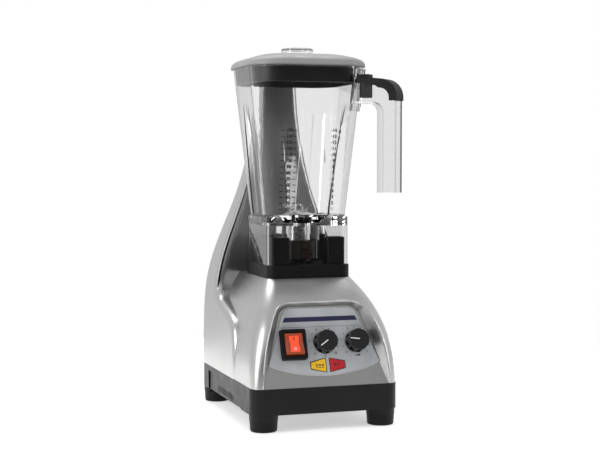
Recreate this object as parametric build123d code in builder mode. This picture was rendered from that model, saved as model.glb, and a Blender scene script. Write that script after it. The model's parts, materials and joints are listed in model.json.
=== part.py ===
from build123d import *
from math import cos, pi, radians, sin, sqrt
import os

os.makedirs("parts", exist_ok=True)

# Countertop blender, in millimetres. X points to the right, Y to the back and Z up.
# Everything is drawn round the drive axis, from the surface that the feet stand on. The
# finished pieces are moved at the end, so that the origin is the middle of the whole.
pieces = []

# ---- driving dimensions: base ------------------------------------------------------
base_half = 103.5  # half width of the housing at its lower edge
base_front = 132.0  # drive axis to the front of the lower edge
base_rear = 160.0  # drive axis to the back of the lower edge
base_front_round = 18.0
base_rear_round = 30.0
foot_height = 15.0
foot_radius = 19.0
leg_height = 8.0
skirt_height = 35.0
body_height = 139.0  # lower edge of the silver housing to the deck under the jar
wall = 3.0  # housing and base pan
fit_gap = 0.3  # between pieces that are put together loosely or move past each other
bore_gap = 0.05  # radial clearance of a shaft in its bore

# ---- driving dimensions: jar, pad, lid ---------------------------------------------
pad_half = 60.0
pad_round = 14.0
pad_height = 18.0
post_place = 40.0  # centre of each pad post from the drive axis, along X and Y
post_size = 25.0
post_height = 38.0
jar_height = 273.0  # seat to rim
jar_skirt_round = 14.0
jar_shelf_height = 66.0  # seat to the top of the shelf that closes the skirt
jar_shelf_thick = 12.0
jar_foot_half = 59.0  # half width of the jar body just above the shelf
jar_foot_round = 30.0
jar_rim_half = 81.5
jar_rim_round = 45.0
jar_wall = 3.2
flute_depth = 11.0
flute_half = 22.0
lid_overhang = 3.0
lid_brim = 3.5
lid_rise = 15.5  # brim to the top of the dome
plug_depth = 22.0
cap_radius = 22.3
cap_rise = 9.0

# ---- driving dimensions: handle ----------------------------------------------------
grip_inner = 127.5  # drive axis to the inner face of the hanging grip
grip_depth = 28.0
handle_width = 21.0
grip_length = 144.0
arm_height = 38.0

# ---- driving dimensions: tower -----------------------------------------------------
tower_gap = 3.0  # lid brim to the front of the tower
tower_thick_top = 24.0
tower_top_half = 28.5
front_scoop = 250.0  # radius of the hollow front face of the tower

# ---- driving dimensions: controls --------------------------------------------------
panel_tilt = 20.0
panel_thick = 1.6
recess_half_low = 87.5
recess_half_high = 54.0
recess_length = 110.0
recess_round = 18.0
recess_draft = 33.0
switch_width = 36.0
switch_length = 42.0
knob_radius = 15.5
knob_height = 15.5
key_travel = 0.8

# ---- driving dimensions: motor -----------------------------------------------------
stator_radius = 47.0
rotor_radius = 28.0
stack_height = 60.0
shaft_radius = 6.0
ridge_round = 10.0  # front edge of the tower and the hips
neck_round = 25.0  # where the hips turn up into the tower
rim_round = 2.0  # edge of the recess round the controls

# ---- levels and places worked out from them ----------------------------------------
skirt_z = foot_height + leg_height
seam_z = skirt_z + skirt_height
deck_z = seam_z + body_height
seat_z = deck_z + pad_height
shelf_z = seat_z + jar_shelf_height
rim_z = seat_z + jar_height
tower_z = rim_z - 4.0
jar_skirt_half = pad_half - 1.3
deck_half = pad_half + 0.5
deck_front = pad_half + 2.0
scoop_y = jar_rim_half + lid_overhang + tower_gap + 6.0
foot_x = base_half - foot_radius - 1.5
foot_front = base_front - foot_radius - 1.0
foot_rear = base_rear - foot_radius - 7.0
foot_places = {
    "front_left": (-foot_x, -foot_front),
    "front_right": (foot_x, -foot_front),
    "rear_left": (-foot_x, foot_rear),
    "rear_right": (foot_x, foot_rear),
}
panel = Plane(
    origin=(0, 2.0 - base_front, seam_z),
    x_dir=(1, 0, 0),
    z_dir=(0, -cos(radians(panel_tilt)), sin(radians(panel_tilt))),
)


def rounded_section(z, half, front, rear, radius):
    """A rounded rectangle at height z that runs from y = -front to y = rear."""
    with BuildSketch(Plane.XY.offset(z)) as section:
        with Locations((0, (rear - front) / 2)):
            RectangleRounded(2 * half, front + rear, radius)
    return section.sketch


def square_section(z, half, radius):
    return rounded_section(z, half, half, half, radius)


# ==== housing =======================================================================


def front_form(inset):
    """The bell that holds the motor, drawn in on every side by inset."""
    sections = []
    bottom = seam_z - 2 * inset
    for share in (0, 0.2, 0.4, 0.6, 0.75, 0.87, 0.95, 1):
        z = bottom + share * (deck_z - inset - bottom)
        half = deck_half + (base_half - 0.6 - deck_half) * (1 - share**2.45)
        front = deck_front + (base_front - deck_front) * (1 - share**3)
        corner = base_front_round - 2 * share + 10 * sin(pi * share)
        sections.append(
            rounded_section(
                z, half - inset, front - inset, scoop_y + 9, corner - inset
            )
        )
    with BuildPart() as form:
        loft(sections=sections)
    return form.part


def tower_rear(z):
    """Distance from the drive axis to the back of the housing at height z."""
    rise = (z - seam_z) / (tower_z - seam_z)
    rear_top = scoop_y + tower_thick_top
    return base_rear - (base_rear - rear_top) * rise**2


def rear_form(inset):
    """The full-width back half, which narrows into the tower behind the jar."""
    sections = []
    bottom = seam_z - 2 * inset
    steps = 8
    for step in range(steps + 1):
        z = bottom + step / steps * (tower_z - inset - bottom)
        rise = max(0, (z - seam_z) / (tower_z - seam_z))
        half = tower_top_half - 4.5 + (base_half - tower_top_half + 4.5) / (
            1 + (rise / 0.54) ** 4.5
        )
        corner = base_rear_round - 16 * rise
        sections.append(
            rounded_section(
                z, half - inset, 60, tower_rear(z) - inset, corner - inset
            )
        )
    with BuildPart() as form:
        loft(sections=sections)
    return form.part


def rear_cutter(inset):
    """Takes away everything above the hips and in front of the tower."""
    low = inset * 0.7
    hip = [
        (low - 46, seam_z - 8 - inset),
        (low - 40, seam_z + 0.27 * body_height - inset),
        (low - 25, seam_z + 0.52 * body_height - inset),
        (15, seam_z + 0.65 * body_height - inset),
        (58, seam_z + 0.73 * body_height - inset),
        (scoop_y + 14, seam_z + 0.82 * body_height - inset),
    ]
    reach = 2 * base_half
    with BuildPart() as form:
        with BuildSketch(Plane.YZ.offset(-reach)):
            with BuildLine():
                Spline(*hip)
                Polyline(
                    hip[-1],
                    (scoop_y + 14, 2 * tower_z),
                    (-base_front, 2 * tower_z),
                    (-base_front, seam_z - 8 - inset),
                    hip[0],
                )
            make_face()
        extrude(amount=2 * reach)
        with Locations((0, scoop_y - front_scoop, 0)):
            Cylinder(front_scoop + inset, 6 * tower_z, mode=Mode.INTERSECT)
    return form.part


def recess_form(inset):
    """The arched hollow round the controls, open at its lower end."""
    with BuildPart() as form:
        with BuildSketch(panel.offset(-inset)) as outline:
            with BuildLine():
                low = (recess_half_low + 8 + inset, -25)
                high = (recess_half_high + inset, recess_length + inset)
                Polyline((-low[0], -25), low, high, (-high[0], high[1]), (-low[0], -25))
            make_face()
            fillet(
                outline.vertices().group_by(Axis.Y)[-1],
                radius=recess_round + inset,
            )
        extrude(amount=40, taper=-recess_draft)
    return form.part



cover_start = scoop_y + wall + 3  # the back cover's cuts begin behind the front wall
cover_reach = base_rear


def cover_outline(grow):
    """Outline of the opening in the back of the tower, as seen from the back."""
    low, high = seam_z + 20 - grow, tower_z - 34 + grow
    low_half, high_half = 0.6 * base_half + grow, 0.45 * tower_top_half + grow
    with BuildSketch(Plane.XZ.offset(-cover_start)) as outline:
        with BuildLine():
            Polyline(
                (-low_half, low),
                (low_half, low),
                (low_half, low + 0.3 * (high - low)),
                (high_half, high),
                (-high_half, high),
                (-low_half, low + 0.3 * (high - low)),
                close=True,
            )
        make_face()
        fillet(outline.vertices(), radius=max(3, 8 + grow))
    return outline.sketch


rear_outer = rear_form(0)
cutter_outer = rear_cutter(0)
front_outer = front_form(0)
recess_outer = recess_form(0)
rear_inner = rear_form(wall)
cutter_inner = rear_cutter(wall)
front_inner = front_form(wall)
recess_inner = recess_form(wall)
rear_lip = rear_form(2 * wall)

with BuildPart() as back_half:
    add(rear_outer)
    add(cutter_outer, mode=Mode.SUBTRACT)
    neck = [
        edge
        for edge in back_half.edges()
        if abs(edge.center().X) < 1
        and edge.bounding_box().size.X > 1.2 * base_half
        and seam_z + 30 < edge.center().Z < seat_z
    ]
    fillet(neck, radius=neck_round)
    ridges = [
        edge
        for edge in back_half.edges()
        if edge.bounding_box().max.Y < scoop_y + 1
        and edge.bounding_box().size.Y > 10
        and edge.bounding_box().size.Z > 12
        and abs(edge.center().X) > tower_top_half
    ]
    fillet(ridges, radius=ridge_round)

with BuildPart() as cavity:
    add(rear_inner)
    add(cutter_inner, mode=Mode.SUBTRACT)
    add(front_inner)
    add(recess_inner, mode=Mode.SUBTRACT)


cover_opening = cover_outline(fit_gap)
cover_shape = cover_outline(0)
lip_outer = cover_outline(5)
lip_inner = cover_outline(-7)

with BuildPart() as cover_lip:
    add(rear_inner)
    extrude(lip_outer, amount=-cover_reach, mode=Mode.INTERSECT)
    add(rear_lip, mode=Mode.SUBTRACT)
    extrude(lip_inner, amount=-cover_reach, mode=Mode.SUBTRACT)

# Screws of the back cover: two rows up the sides and one at the top.
screw_radius = 1.5
head_radius = 3.0
cover_low = seam_z + 20
cover_high = tower_z - 34
cover_screw_half = 0.6 * base_half - 3.5
cover_screw_places = [
    (side * cover_screw_half, cover_low + share * (cover_high - cover_low))
    for side in (-1, 1)
    for share in (0.04, 0.27)
] + [(0, cover_high - 3.5)]

vent_rows = 9
vent_pitch = 9.0
with BuildPart() as tower_back_cover:
    add(rear_outer)
    extrude(cover_shape, amount=-cover_reach, mode=Mode.INTERSECT)
    add(rear_inner, mode=Mode.SUBTRACT)
    with BuildSketch(Plane.XZ.offset(-cover_start)):
        for row in range(vent_rows):
            with Locations((0, cover_low + 16 + row * vent_pitch)):
                SlotOverall(0.8 * base_half, 3.2)
        with Locations(*cover_screw_places):
            Circle(screw_radius + bore_gap)
    extrude(amount=-cover_reach, mode=Mode.SUBTRACT)
tower_back_cover.part.label = "tower_back_cover"
pieces.append(tower_back_cover.part)

with BuildPart() as cover_screws:
    for x, z in cover_screw_places:
        with BuildSketch(Plane.XZ.offset(-tower_rear(z) + 8)):
            with Locations((x, z)):
                Circle(screw_radius)
        extrude(amount=-9)
        with BuildSketch(Plane.XZ.offset(-tower_rear(z) - 0.6)):
            with Locations((x, z)):
                Circle(head_radius)
        extrude(amount=-1.6)
cover_screws.part.label = "cover_screws"
pieces.append(cover_screws.part)

# ---- places on the control panel, as (across, up) in its own plane -------------------
row_up = 59.0  # switch and knobs
switch_at = (-42.0, row_up - 1.5)
timer_at = (2.0, row_up)
speed_at = (47.0, row_up)
key_gap_at = (4.0, 28.5)
key_gap = 6.6
key_long = 20.3
key_high = 18.0
key_tip = 8.0
bezel_rim = 5.0
barrel_width = switch_width - 6
barrel_length = switch_length - 4.6
rocker_width = switch_width - 2 * bezel_rim - 2 * fit_gap
rocker_half_length = switch_length / 2 - bezel_rim - fit_gap
pivot_up = 3.0  # rocker pivot above the housing face
bushing_radius = 4.4
pot_shaft_radius = 3.0
pot_radius = 8.5
board_depth = 15.0  # housing face to the front of the control board
board_thick = 1.6

# ---- bosses, screws and motor mounts ------------------------------------------------
boss_radius = 7.0
boss_length = 18.0
boss_x = base_half - wall - boss_radius + 1.5
boss_places = [
    (side * boss_x, y)
    for side in (-1, 1)
    for y in (-base_front + 42, base_rear - 42)
]
mount_at = stator_radius - 5.0  # motor mounts, along X and Y from the drive axis
mount_radius = 7.0
mount_height = 16.0
mount_places = [(x, y) for x in (-mount_at, mount_at) for y in (-mount_at, mount_at)]
mount_stud = 2.0
pad_screw_places = [(x, y) for x in (-13, 13) for y in (-pad_half + 9, pad_half - 9)]
deck_hole_radius = 20.0

with BuildPart() as housing:
    add(back_half.part)
    add(front_outer)
    add(recess_outer, mode=Mode.SUBTRACT)
    rim = [
        edge
        for edge in housing.edges()
        if edge.bounding_box().max.Y < -90
        and edge.bounding_box().max.Z > seam_z + 5
        and edge.length > 10
        and panel.to_local_coords(edge.center()).Z > 6
    ]
    fillet(rim, radius=rim_round)
    add(cavity.part, mode=Mode.SUBTRACT)
    extrude(cover_opening, amount=-cover_reach, mode=Mode.SUBTRACT)
    add(cover_lip.part)
    # Screw bosses at the lower edge.
    with BuildSketch(Plane.XY.offset(seam_z)):
        with Locations(*boss_places):
            Circle(boss_radius)
    extrude(amount=boss_length)
    with BuildSketch(Plane.XY.offset(seam_z)):
        with Locations(*boss_places):
            Circle(screw_radius)
    extrude(amount=boss_length - 3, mode=Mode.SUBTRACT)
    # Holes in the deck for the drive coupling, the motor mounts and the pad screws.
    with BuildSketch(Plane.XY.offset(deck_z - wall - 1)):
        Circle(deck_hole_radius)
        with Locations(*mount_places):
            Circle(mount_stud + fit_gap)
        with Locations(*pad_screw_places):
            Circle(screw_radius)
    extrude(amount=wall + 2, mode=Mode.SUBTRACT)
    # Openings behind the control panel.
    with BuildSketch(panel.offset(-wall - 1)):
        with Locations(switch_at):
            Rectangle(barrel_width + 2 * fit_gap, barrel_length + 2 * fit_gap)
        with Locations(timer_at, speed_at):
            Circle(bushing_radius + bore_gap)
        with Locations(key_gap_at):
            Rectangle(2 * key_long + key_gap + 3, key_high + 3)
    extrude(amount=wall + 2, mode=Mode.SUBTRACT)
    # Holes in the lip for the screws of the back cover.
    with BuildSketch(Plane.XZ.offset(-cover_start)):
        with Locations(*cover_screw_places):
            Circle(screw_radius + bore_gap)
    extrude(amount=-cover_reach, mode=Mode.SUBTRACT)
housing.part.label = "housing"
pieces.append(housing.part)

# ==== base pan, feet =================================================================
leg_size = 2 * foot_radius + 6
vent_pitch_side = 6.5
vent_count = 13
arch_front = -base_front + leg_size + 10
arch_rear = base_rear - leg_size - 10
inlet_width = 27.0
inlet_height = 19.0
inlet_x = -45.0
inlet_z = (skirt_z + seam_z) / 2 + 0.5
power_y = base_rear - wall - 44
power_z = skirt_z + wall + 6
standoff_places = [(x, power_y + y) for x in (-14, 54) for y in (-16, 16)]
arch_depth = 2.0
arch_middle = (arch_front + arch_rear) / 2


def base_section(z, inset):
    """The plan outline of the lower edge, front and back corners rounded apart."""
    half, front, rear = base_half - inset, base_front - inset, base_rear - inset
    front_round, rear_round = base_front_round - inset, base_rear_round - inset
    with BuildSketch(Plane.XY.offset(z)) as section:
        with BuildLine():
            front_corners = [(-half, -front), (half, -front)]
            rear_corners = [(half, rear), (-half, rear)]
            Polyline(*front_corners, *rear_corners, close=True)
        make_face()
        corners = section.vertices().group_by(Axis.Y)
        fillet(corners[0], radius=front_round)
        fillet(section.vertices().group_by(Axis.Y)[-1], radius=rear_round)
    return section.sketch


pan_outline = base_section(skirt_z, 0)
pan_cavity = base_section(skirt_z + wall, wall)

with BuildPart() as base_pan:
    with BuildSketch(Plane.XY.offset(foot_height)):
        with Locations(*foot_places.values()):
            Circle(foot_radius + 0.5)
    extrude(amount=leg_height + 2)
    extrude(pan_outline, amount=skirt_height)
    extrude(pan_cavity, amount=skirt_height, mode=Mode.SUBTRACT)
    # Standoffs for the power board.
    with BuildSketch(Plane.XY.offset(skirt_z)):
        with Locations(*standoff_places):
            Circle(3)
    extrude(amount=power_z - skirt_z)
    # Bosses for the housing screws, with room for the heads from below.
    with BuildSketch(Plane.XY.offset(skirt_z)):
        with Locations(*boss_places):
            Circle(boss_radius)
    extrude(amount=skirt_height)
    with BuildSketch(Plane.XY.offset(foot_height)):
        with Locations(*boss_places):
            Circle(head_radius + fit_gap)
    extrude(amount=leg_height + skirt_height / 2, mode=Mode.SUBTRACT)
    with BuildSketch(Plane.XY.offset(foot_height)):
        with Locations(*boss_places):
            Circle(screw_radius + fit_gap)
        with Locations(*foot_places.values()):
            Circle(screw_radius)
    extrude(amount=leg_height + skirt_height, mode=Mode.SUBTRACT)
    # Shallow arches in the sides, with upright vent slots through them.
    for side in (-1, 1):
        face = Plane(
            origin=(side * base_half, 0, 0), x_dir=(0, 1, 0), z_dir=(-side, 0, 0)
        )
        up = -side
        with BuildSketch(face):
            with BuildLine():
                ThreePointArc(
                    (arch_front, up * (skirt_z - 1)),
                    (arch_middle, up * (seam_z - 14)),
                    (arch_rear, up * (seam_z - 8)),
                )
                Polyline(
                    (arch_rear, up * (seam_z - 8)),
                    (arch_rear, up * (skirt_z - 1)),
                    (arch_front, up * (skirt_z - 1)),
                )
            make_face()
        extrude(amount=arch_depth, mode=Mode.SUBTRACT)
        with BuildSketch(face):
            for place in range(vent_count):
                y = arch_middle + (place - (vent_count - 1) / 2) * vent_pitch_side
                with Locations((y, up * (skirt_z + wall + 5))):
                    Rectangle(3, 9)
        extrude(amount=wall + 1, mode=Mode.SUBTRACT)
    # Cut-out for the mains inlet in the back.
    with Locations((inlet_x, base_rear, inlet_z)):
        Box(
            inlet_width + 2 * fit_gap,
            4 * wall,
            inlet_height + 2 * fit_gap,
            mode=Mode.SUBTRACT,
        )
base_pan.part.label = "base_pan"
pieces.append(base_pan.part)

for name, place in foot_places.items():
    with BuildPart() as foot:
        with BuildSketch():
            with Locations(place):
                Circle(foot_radius - 1)
        with BuildSketch(Plane.XY.offset(foot_height)):
            with Locations(place):
                Circle(foot_radius)
        loft()
        fillet(foot.edges().group_by(Axis.Z)[0], radius=2)
        with BuildSketch():
            with Locations(place):
                Circle(5)
        extrude(amount=foot_height - 6, mode=Mode.SUBTRACT)
        with BuildSketch():
            with Locations(place):
                Circle(screw_radius + 0.5)
        extrude(amount=foot_height, mode=Mode.SUBTRACT)
    foot.part.label = f"foot_{name}"
    pieces.append(foot.part)


def pan_head_screw(place, head_z, head_up, length, head_height=2.0):
    """A screw along Z: the underside of its head is at head_z."""
    with BuildPart() as screw:
        with BuildSketch(Plane.XY.offset(head_z)):
            with Locations(place):
                Circle(screw_radius)
        extrude(amount=-head_up * length)
        with BuildSketch(Plane.XY.offset(head_z)):
            with Locations(place):
                Circle(head_radius)
        extrude(amount=head_up * head_height)
    return screw.part


foot_screw_list = [
    pan_head_screw(place, foot_height - 6, -1, leg_height + 4)
    for place in foot_places.values()
]
pan_screw_z = skirt_z + skirt_height / 2
base_screw_list = [
    pan_head_screw(place, pan_screw_z, -1, skirt_height / 2 + boss_length - 4)
    for place in boss_places
]
with BuildPart() as underside_screws:
    add(foot_screw_list)
    add(base_screw_list)
underside_screws.part.label = "underside_screws"
pieces.append(underside_screws.part)

# ==== mains inlet, power electronics ================================================
inlet_depth = 22.0
with BuildPart() as mains_inlet:
    with Locations((inlet_x, base_rear - inlet_depth / 2, inlet_z)):
        Box(inlet_width, inlet_depth, inlet_height)
    with Locations((inlet_x, base_rear + 1.25, inlet_z)):
        Box(inlet_width + 12, 2.5, inlet_height + 6)
    with Locations((inlet_x, base_rear + 2.5 - 8, inlet_z)):
        Box(inlet_width - 4, 16, inlet_height - 4, mode=Mode.SUBTRACT)
    for across in (-7, 0, 7):
        lift = 2.5 if across == 0 else -1
        with Locations((inlet_x + across, base_rear - 8, inlet_z + lift)):
            Box(2, 12, 5)
mains_inlet.part.label = "mains_inlet"
pieces.append(mains_inlet.part)

with BuildPart() as power_board:
    with Locations((20, power_y, power_z + board_thick / 2)):
        Box(80, 44, board_thick)
    with Locations((-6, power_y - 8, power_z + board_thick + 6)):
        Box(18, 14, 12)
    with Locations((-6, power_y + 12, power_z + board_thick + 5)):
        Box(20, 9, 10)
    with Locations((18, power_y, power_z + board_thick + 11)):
        Cylinder(8, 22)
power_board.part.label = "power_board"
pieces.append(power_board.part)

with BuildPart() as heat_sink:
    sink_z = power_z + board_thick
    with Locations((44, power_y, sink_z + 1.5)):
        Box(24, 36, 3)
    for fin in range(5):
        with Locations((34 + 5 * fin, power_y, sink_z + 9)):
            Box(1.6, 36, 18)
heat_sink.part.label = "heat_sink"
pieces.append(heat_sink.part)

# ==== jar pad ========================================================================
pad_outline = square_section(deck_z, pad_half, pad_round)
post_half = post_size / 2
with BuildPart() as jar_pad:
    extrude(pad_outline, amount=pad_height)
    fillet(jar_pad.edges().group_by(Axis.Z)[-1], radius=1.5)
    with BuildSketch(Plane.XY.offset(seat_z)):
        for x in (-1, 1):
            for y in (-1, 1):
                with Locations((x * post_place, y * post_place)):
                    RectangleRounded(post_size, post_size, 3)
    extrude(amount=post_height)
    fillet(jar_pad.edges().group_by(Axis.Z)[-1], radius=2)
    with BuildSketch(Plane.XY.offset(deck_z)):
        Circle(deck_hole_radius)
        with Locations(*mount_places):
            Circle(mount_stud + 4)
    extrude(amount=7, mode=Mode.SUBTRACT)
    with BuildSketch(Plane.XY.offset(deck_z)):
        Circle(deck_hole_radius)
    extrude(amount=pad_height, mode=Mode.SUBTRACT)
    with BuildSketch(Plane.XY.offset(deck_z)):
        with Locations(*pad_screw_places):
            Circle(screw_radius + fit_gap)
    extrude(amount=pad_height, mode=Mode.SUBTRACT)
    with BuildSketch(Plane.XY.offset(seat_z)):
        with Locations(*pad_screw_places):
            Circle(head_radius + fit_gap)
    extrude(amount=-6, mode=Mode.SUBTRACT)
jar_pad.part.label = "jar_pad"
pieces.append(jar_pad.part)

pad_screw_list = [
    pan_head_screw(place, seat_z - 6, 1, pad_height - 6 + wall)
    for place in pad_screw_places
]
with BuildPart() as pad_screws:
    add(pad_screw_list)
pad_screws.part.label = "pad_screws"
pieces.append(pad_screws.part)

# ==== motor ==========================================================================
# Levels from the deck down. The motor hangs from the deck on four rubber mounts.
bearing_outer = 16.0
bearing_height = 10.0
top_bracket_thick = 8.0
top_bracket_z = deck_z - wall - mount_height - top_bracket_thick
stack_top = top_bracket_z - 16.0
stack_z = stack_top - stack_height
winding_height = 12.0
commutator_radius = 15.0
commutator_height = 18.0
commutator_z = stack_z - winding_height - commutator_height
bottom_bracket_thick = 8.0
bottom_bracket_z = commutator_z - 5.0 - bottom_bracket_thick
fan_height = 14.0
fan_radius = 40.0
fan_z = bottom_bracket_z - 4.0 - fan_height
air_gap = 0.6
bolt_radius = 2.0
bolt_ring = stator_radius + 1.5
bolt_places = [(0, bolt_ring + 2), (0, -bolt_ring - 2)]

with BuildPart() as motor_mounts:
    with BuildSketch(Plane.XY.offset(deck_z - wall - mount_height)):
        with Locations(*mount_places):
            Circle(mount_radius)
    extrude(amount=mount_height)
    with BuildSketch(Plane.XY.offset(deck_z - wall - mount_height)):
        with Locations(*mount_places):
            Circle(mount_stud)
    extrude(amount=mount_height, mode=Mode.SUBTRACT)
motor_mounts.part.label = "motor_mounts"
pieces.append(motor_mounts.part)

with BuildPart() as mount_studs:
    with BuildSketch(Plane.XY.offset(top_bracket_z - 2)):
        with Locations(*mount_places):
            Circle(mount_stud)
    extrude(amount=top_bracket_thick + mount_height + wall + 2 + 1)
    for level in (top_bracket_z - 3, deck_z):
        with BuildSketch(Plane.XY.offset(level)):
            with Locations(*mount_places):
                RegularPolygon(4, 6)
        extrude(amount=3)
mount_studs.part.label = "mount_studs"
pieces.append(mount_studs.part)


def bracket_outline(z):
    with BuildSketch(Plane.XY.offset(z)) as outline:
        RectangleRounded(2 * mount_at + 16, 2 * mount_at + 16, 10)
    return outline.sketch


with BuildPart() as motor_top_bracket:
    add(bracket_outline(top_bracket_z))
    extrude(amount=top_bracket_thick)
    with BuildSketch(Plane.XY.offset(top_bracket_z - 8)):
        Circle(stator_radius + 5)
        Circle(stator_radius - 6, mode=Mode.SUBTRACT)
    extrude(amount=8)
    with BuildSketch(Plane.XY.offset(top_bracket_z - 4)):
        Circle(bearing_outer + 3)
    extrude(amount=top_bracket_thick + 4)
    with BuildSketch(Plane.XY.offset(top_bracket_z - 2)):
        Circle(bearing_outer)
    extrude(amount=bearing_height, mode=Mode.SUBTRACT)
    with BuildSketch(Plane.XY.offset(top_bracket_z - 4)):
        Circle(bearing_outer - 3)
    extrude(amount=2, mode=Mode.SUBTRACT)
    with BuildSketch(Plane.XY.offset(top_bracket_z - 8)):
        with Locations(*mount_places):
            Circle(mount_stud)
        with Locations(*bolt_places):
            Circle(bolt_radius)
        with PolarLocations(28, 6, 30):
            Circle(6)
    extrude(amount=top_bracket_thick + 8, mode=Mode.SUBTRACT)
motor_top_bracket.part.label = "motor_top_bracket"
pieces.append(motor_top_bracket.part)

with BuildPart() as motor_bottom_bracket:
    with BuildSketch(Plane.XY.offset(bottom_bracket_z)):
        Circle(stator_radius + 5)
    extrude(amount=bottom_bracket_thick)
    with BuildSketch(Plane.XY.offset(bottom_bracket_z)):
        Circle(stator_radius + 5)
        Circle(stator_radius - 3, mode=Mode.SUBTRACT)
    extrude(amount=stack_z - bottom_bracket_z)
    with BuildSketch(Plane.XY.offset(bottom_bracket_z - 2)):
        Circle(bearing_outer)
    extrude(amount=bearing_height, mode=Mode.SUBTRACT)
    # Windows in the skirt that let the air out past the brushes.
    with BuildSketch(Plane.XZ.offset(-3 * stator_radius)):
        with Locations((0, (bottom_bracket_z + bottom_bracket_thick + stack_z) / 2)):
            Rectangle(40, stack_z - bottom_bracket_z - bottom_bracket_thick - 10)
    extrude(amount=6 * stator_radius, mode=Mode.SUBTRACT)
    with BuildSketch(Plane.XY.offset(bottom_bracket_z)):
        with Locations(*bolt_places):
            Circle(bolt_radius)
    extrude(amount=stack_z - bottom_bracket_z, mode=Mode.SUBTRACT)
    with BuildSketch(Plane.XY.offset(bottom_bracket_z)):
        with PolarLocations(29, 8):
            Circle(6)
    extrude(amount=bottom_bracket_thick, mode=Mode.SUBTRACT)
motor_bottom_bracket.part.label = "motor_bottom_bracket"
pieces.append(motor_bottom_bracket.part)

with BuildPart() as stator_core:
    with BuildSketch(Plane.XY.offset(stack_z)):
        Circle(stator_radius)
        Circle(rotor_radius + air_gap, mode=Mode.SUBTRACT)
        # Two slots on each side of the poles hold the coil sides.
        with PolarLocations((stator_radius + rotor_radius) / 2 - 2, 4, 45):
            Rectangle(8, 17, mode=Mode.SUBTRACT)
        with Locations(*bolt_places):
            Circle(bolt_radius + 1, mode=Mode.SUBTRACT)
    extrude(amount=stack_height)
stator_core.part.label = "stator_core"
pieces.append(stator_core.part)

coil_radius = (stator_radius + rotor_radius) / 2 - 2
with BuildPart() as field_coils:
    for side in (0, 180):
        for level in (stack_z - 10, stack_top):
            with BuildSketch(Plane.XY.offset(level)):
                with BuildLine():
                    CenterArc((0, 0), coil_radius + 4, side + 42, 96)
                    CenterArc((0, 0), coil_radius - 4, side + 42, 96)
                    for turn in (side + 42, side + 138):
                        Line(
                            Vector(coil_radius - 4, 0).rotate(Axis.Z, turn),
                            Vector(coil_radius + 4, 0).rotate(Axis.Z, turn),
                        )
                make_face()
            extrude(amount=10)
    with BuildSketch(Plane.XY.offset(stack_z)):
        with PolarLocations(coil_radius, 4, 45):
            Rectangle(7.2, 8)
    extrude(amount=stack_height)
field_coils.part.label = "field_coils"
pieces.append(field_coils.part)

with BuildPart() as motor_bolts:
    with BuildSketch(Plane.XY.offset(bottom_bracket_z - 3)):
        with Locations(*bolt_places):
            Circle(bolt_radius)
    extrude(amount=top_bracket_z + top_bracket_thick + 3 - bottom_bracket_z)
    for level in (bottom_bracket_z - 3, top_bracket_z + top_bracket_thick):
        with BuildSketch(Plane.XY.offset(level)):
            with Locations(*bolt_places):
                RegularPolygon(4, 6)
        extrude(amount=3)
motor_bolts.part.label = "motor_bolts"
pieces.append(motor_bolts.part)

bearing_bore = shaft_radius + bore_gap
bearing_levels = {
    "upper_bearing": top_bracket_z - 2,
    "lower_bearing": bottom_bracket_z - 2,
}
for name, level in bearing_levels.items():
    with BuildPart() as bearing:
        with BuildSketch(Plane.XY.offset(level)):
            Circle(bearing_outer)
            Circle(bearing_bore, mode=Mode.SUBTRACT)
        extrude(amount=bearing_height)
        for face_z, way in ((level, 1), (level + bearing_height, -1)):
            with BuildSketch(Plane.XY.offset(face_z)):
                Circle(bearing_outer - 2.5)
                Circle(bearing_bore + 2.5, mode=Mode.SUBTRACT)
            extrude(amount=way * 1.0, mode=Mode.SUBTRACT)
    bearing.part.label = name
    pieces.append(bearing.part)

brush_z = commutator_z + commutator_height / 2
brush_from = commutator_radius + 0.3
brush_to = stator_radius - 8
with BuildPart() as brush_holders:
    for side in (-1, 1):
        with Locations((side * (brush_from + 5 + brush_to) / 2, 0, brush_z)):
            Box(brush_to - brush_from - 5, 11, 13)
            Box(brush_to - brush_from - 5 + 2, 7.2, 9.2, mode=Mode.SUBTRACT)
        foot_top = brush_z - 6.5
        foot_low = bottom_bracket_z + bottom_bracket_thick
        with Locations((side * (brush_to - 6), 0, (foot_top + foot_low) / 2)):
            Box(10, 11, foot_top - foot_low)
brush_holders.part.label = "brush_holders"
pieces.append(brush_holders.part)

with BuildPart() as carbon_brushes:
    for side in (-1, 1):
        with Locations((side * (brush_from + 9), 0, brush_z)):
            Box(18, 7, 9)
    Cylinder(brush_from, 6 * brush_z, mode=Mode.SUBTRACT)
carbon_brushes.part.label = "carbon_brushes"
pieces.append(carbon_brushes.part)

with BuildPart() as fan_shroud:
    with BuildSketch(Plane.XY.offset(fan_z - 2)):
        Circle(fan_radius + 6)
        Circle(fan_radius + 3, mode=Mode.SUBTRACT)
    extrude(amount=fan_height + 4)
    with BuildSketch(Plane.XY.offset(skirt_z + wall)):
        with PolarLocations(fan_radius + 4.5, 4, 45):
            Circle(4)
    extrude(amount=fan_z + 6 - skirt_z - wall)
    with BuildSketch(Plane.XY.offset(fan_z - 2)):
        Circle(fan_radius + 3)
    extrude(amount=fan_height + 4, mode=Mode.SUBTRACT)
fan_shroud.part.label = "fan_shroud"
pieces.append(fan_shroud.part)

# ==== drive train: everything that turns with the motor shaft =======================
coupling_z = deck_z - 2.0
coupling_top = seat_z + 17.0
star_radius = 8.0
shaft_top = coupling_top - 6.0
shaft_low = fan_z - 4.0


def star_section(z, grow):
    """Six-lobed outline that the two halves of the coupling share."""
    with BuildSketch(Plane.XY.offset(z)) as star:
        Circle(star_radius - 2 + grow)
        with PolarLocations(star_radius - 2, 6):
            Circle(2 + grow)
    return star.sketch


star_stub = star_section(seat_z + 6, 0)
star_socket = star_section(seat_z + 7, fit_gap)

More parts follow.
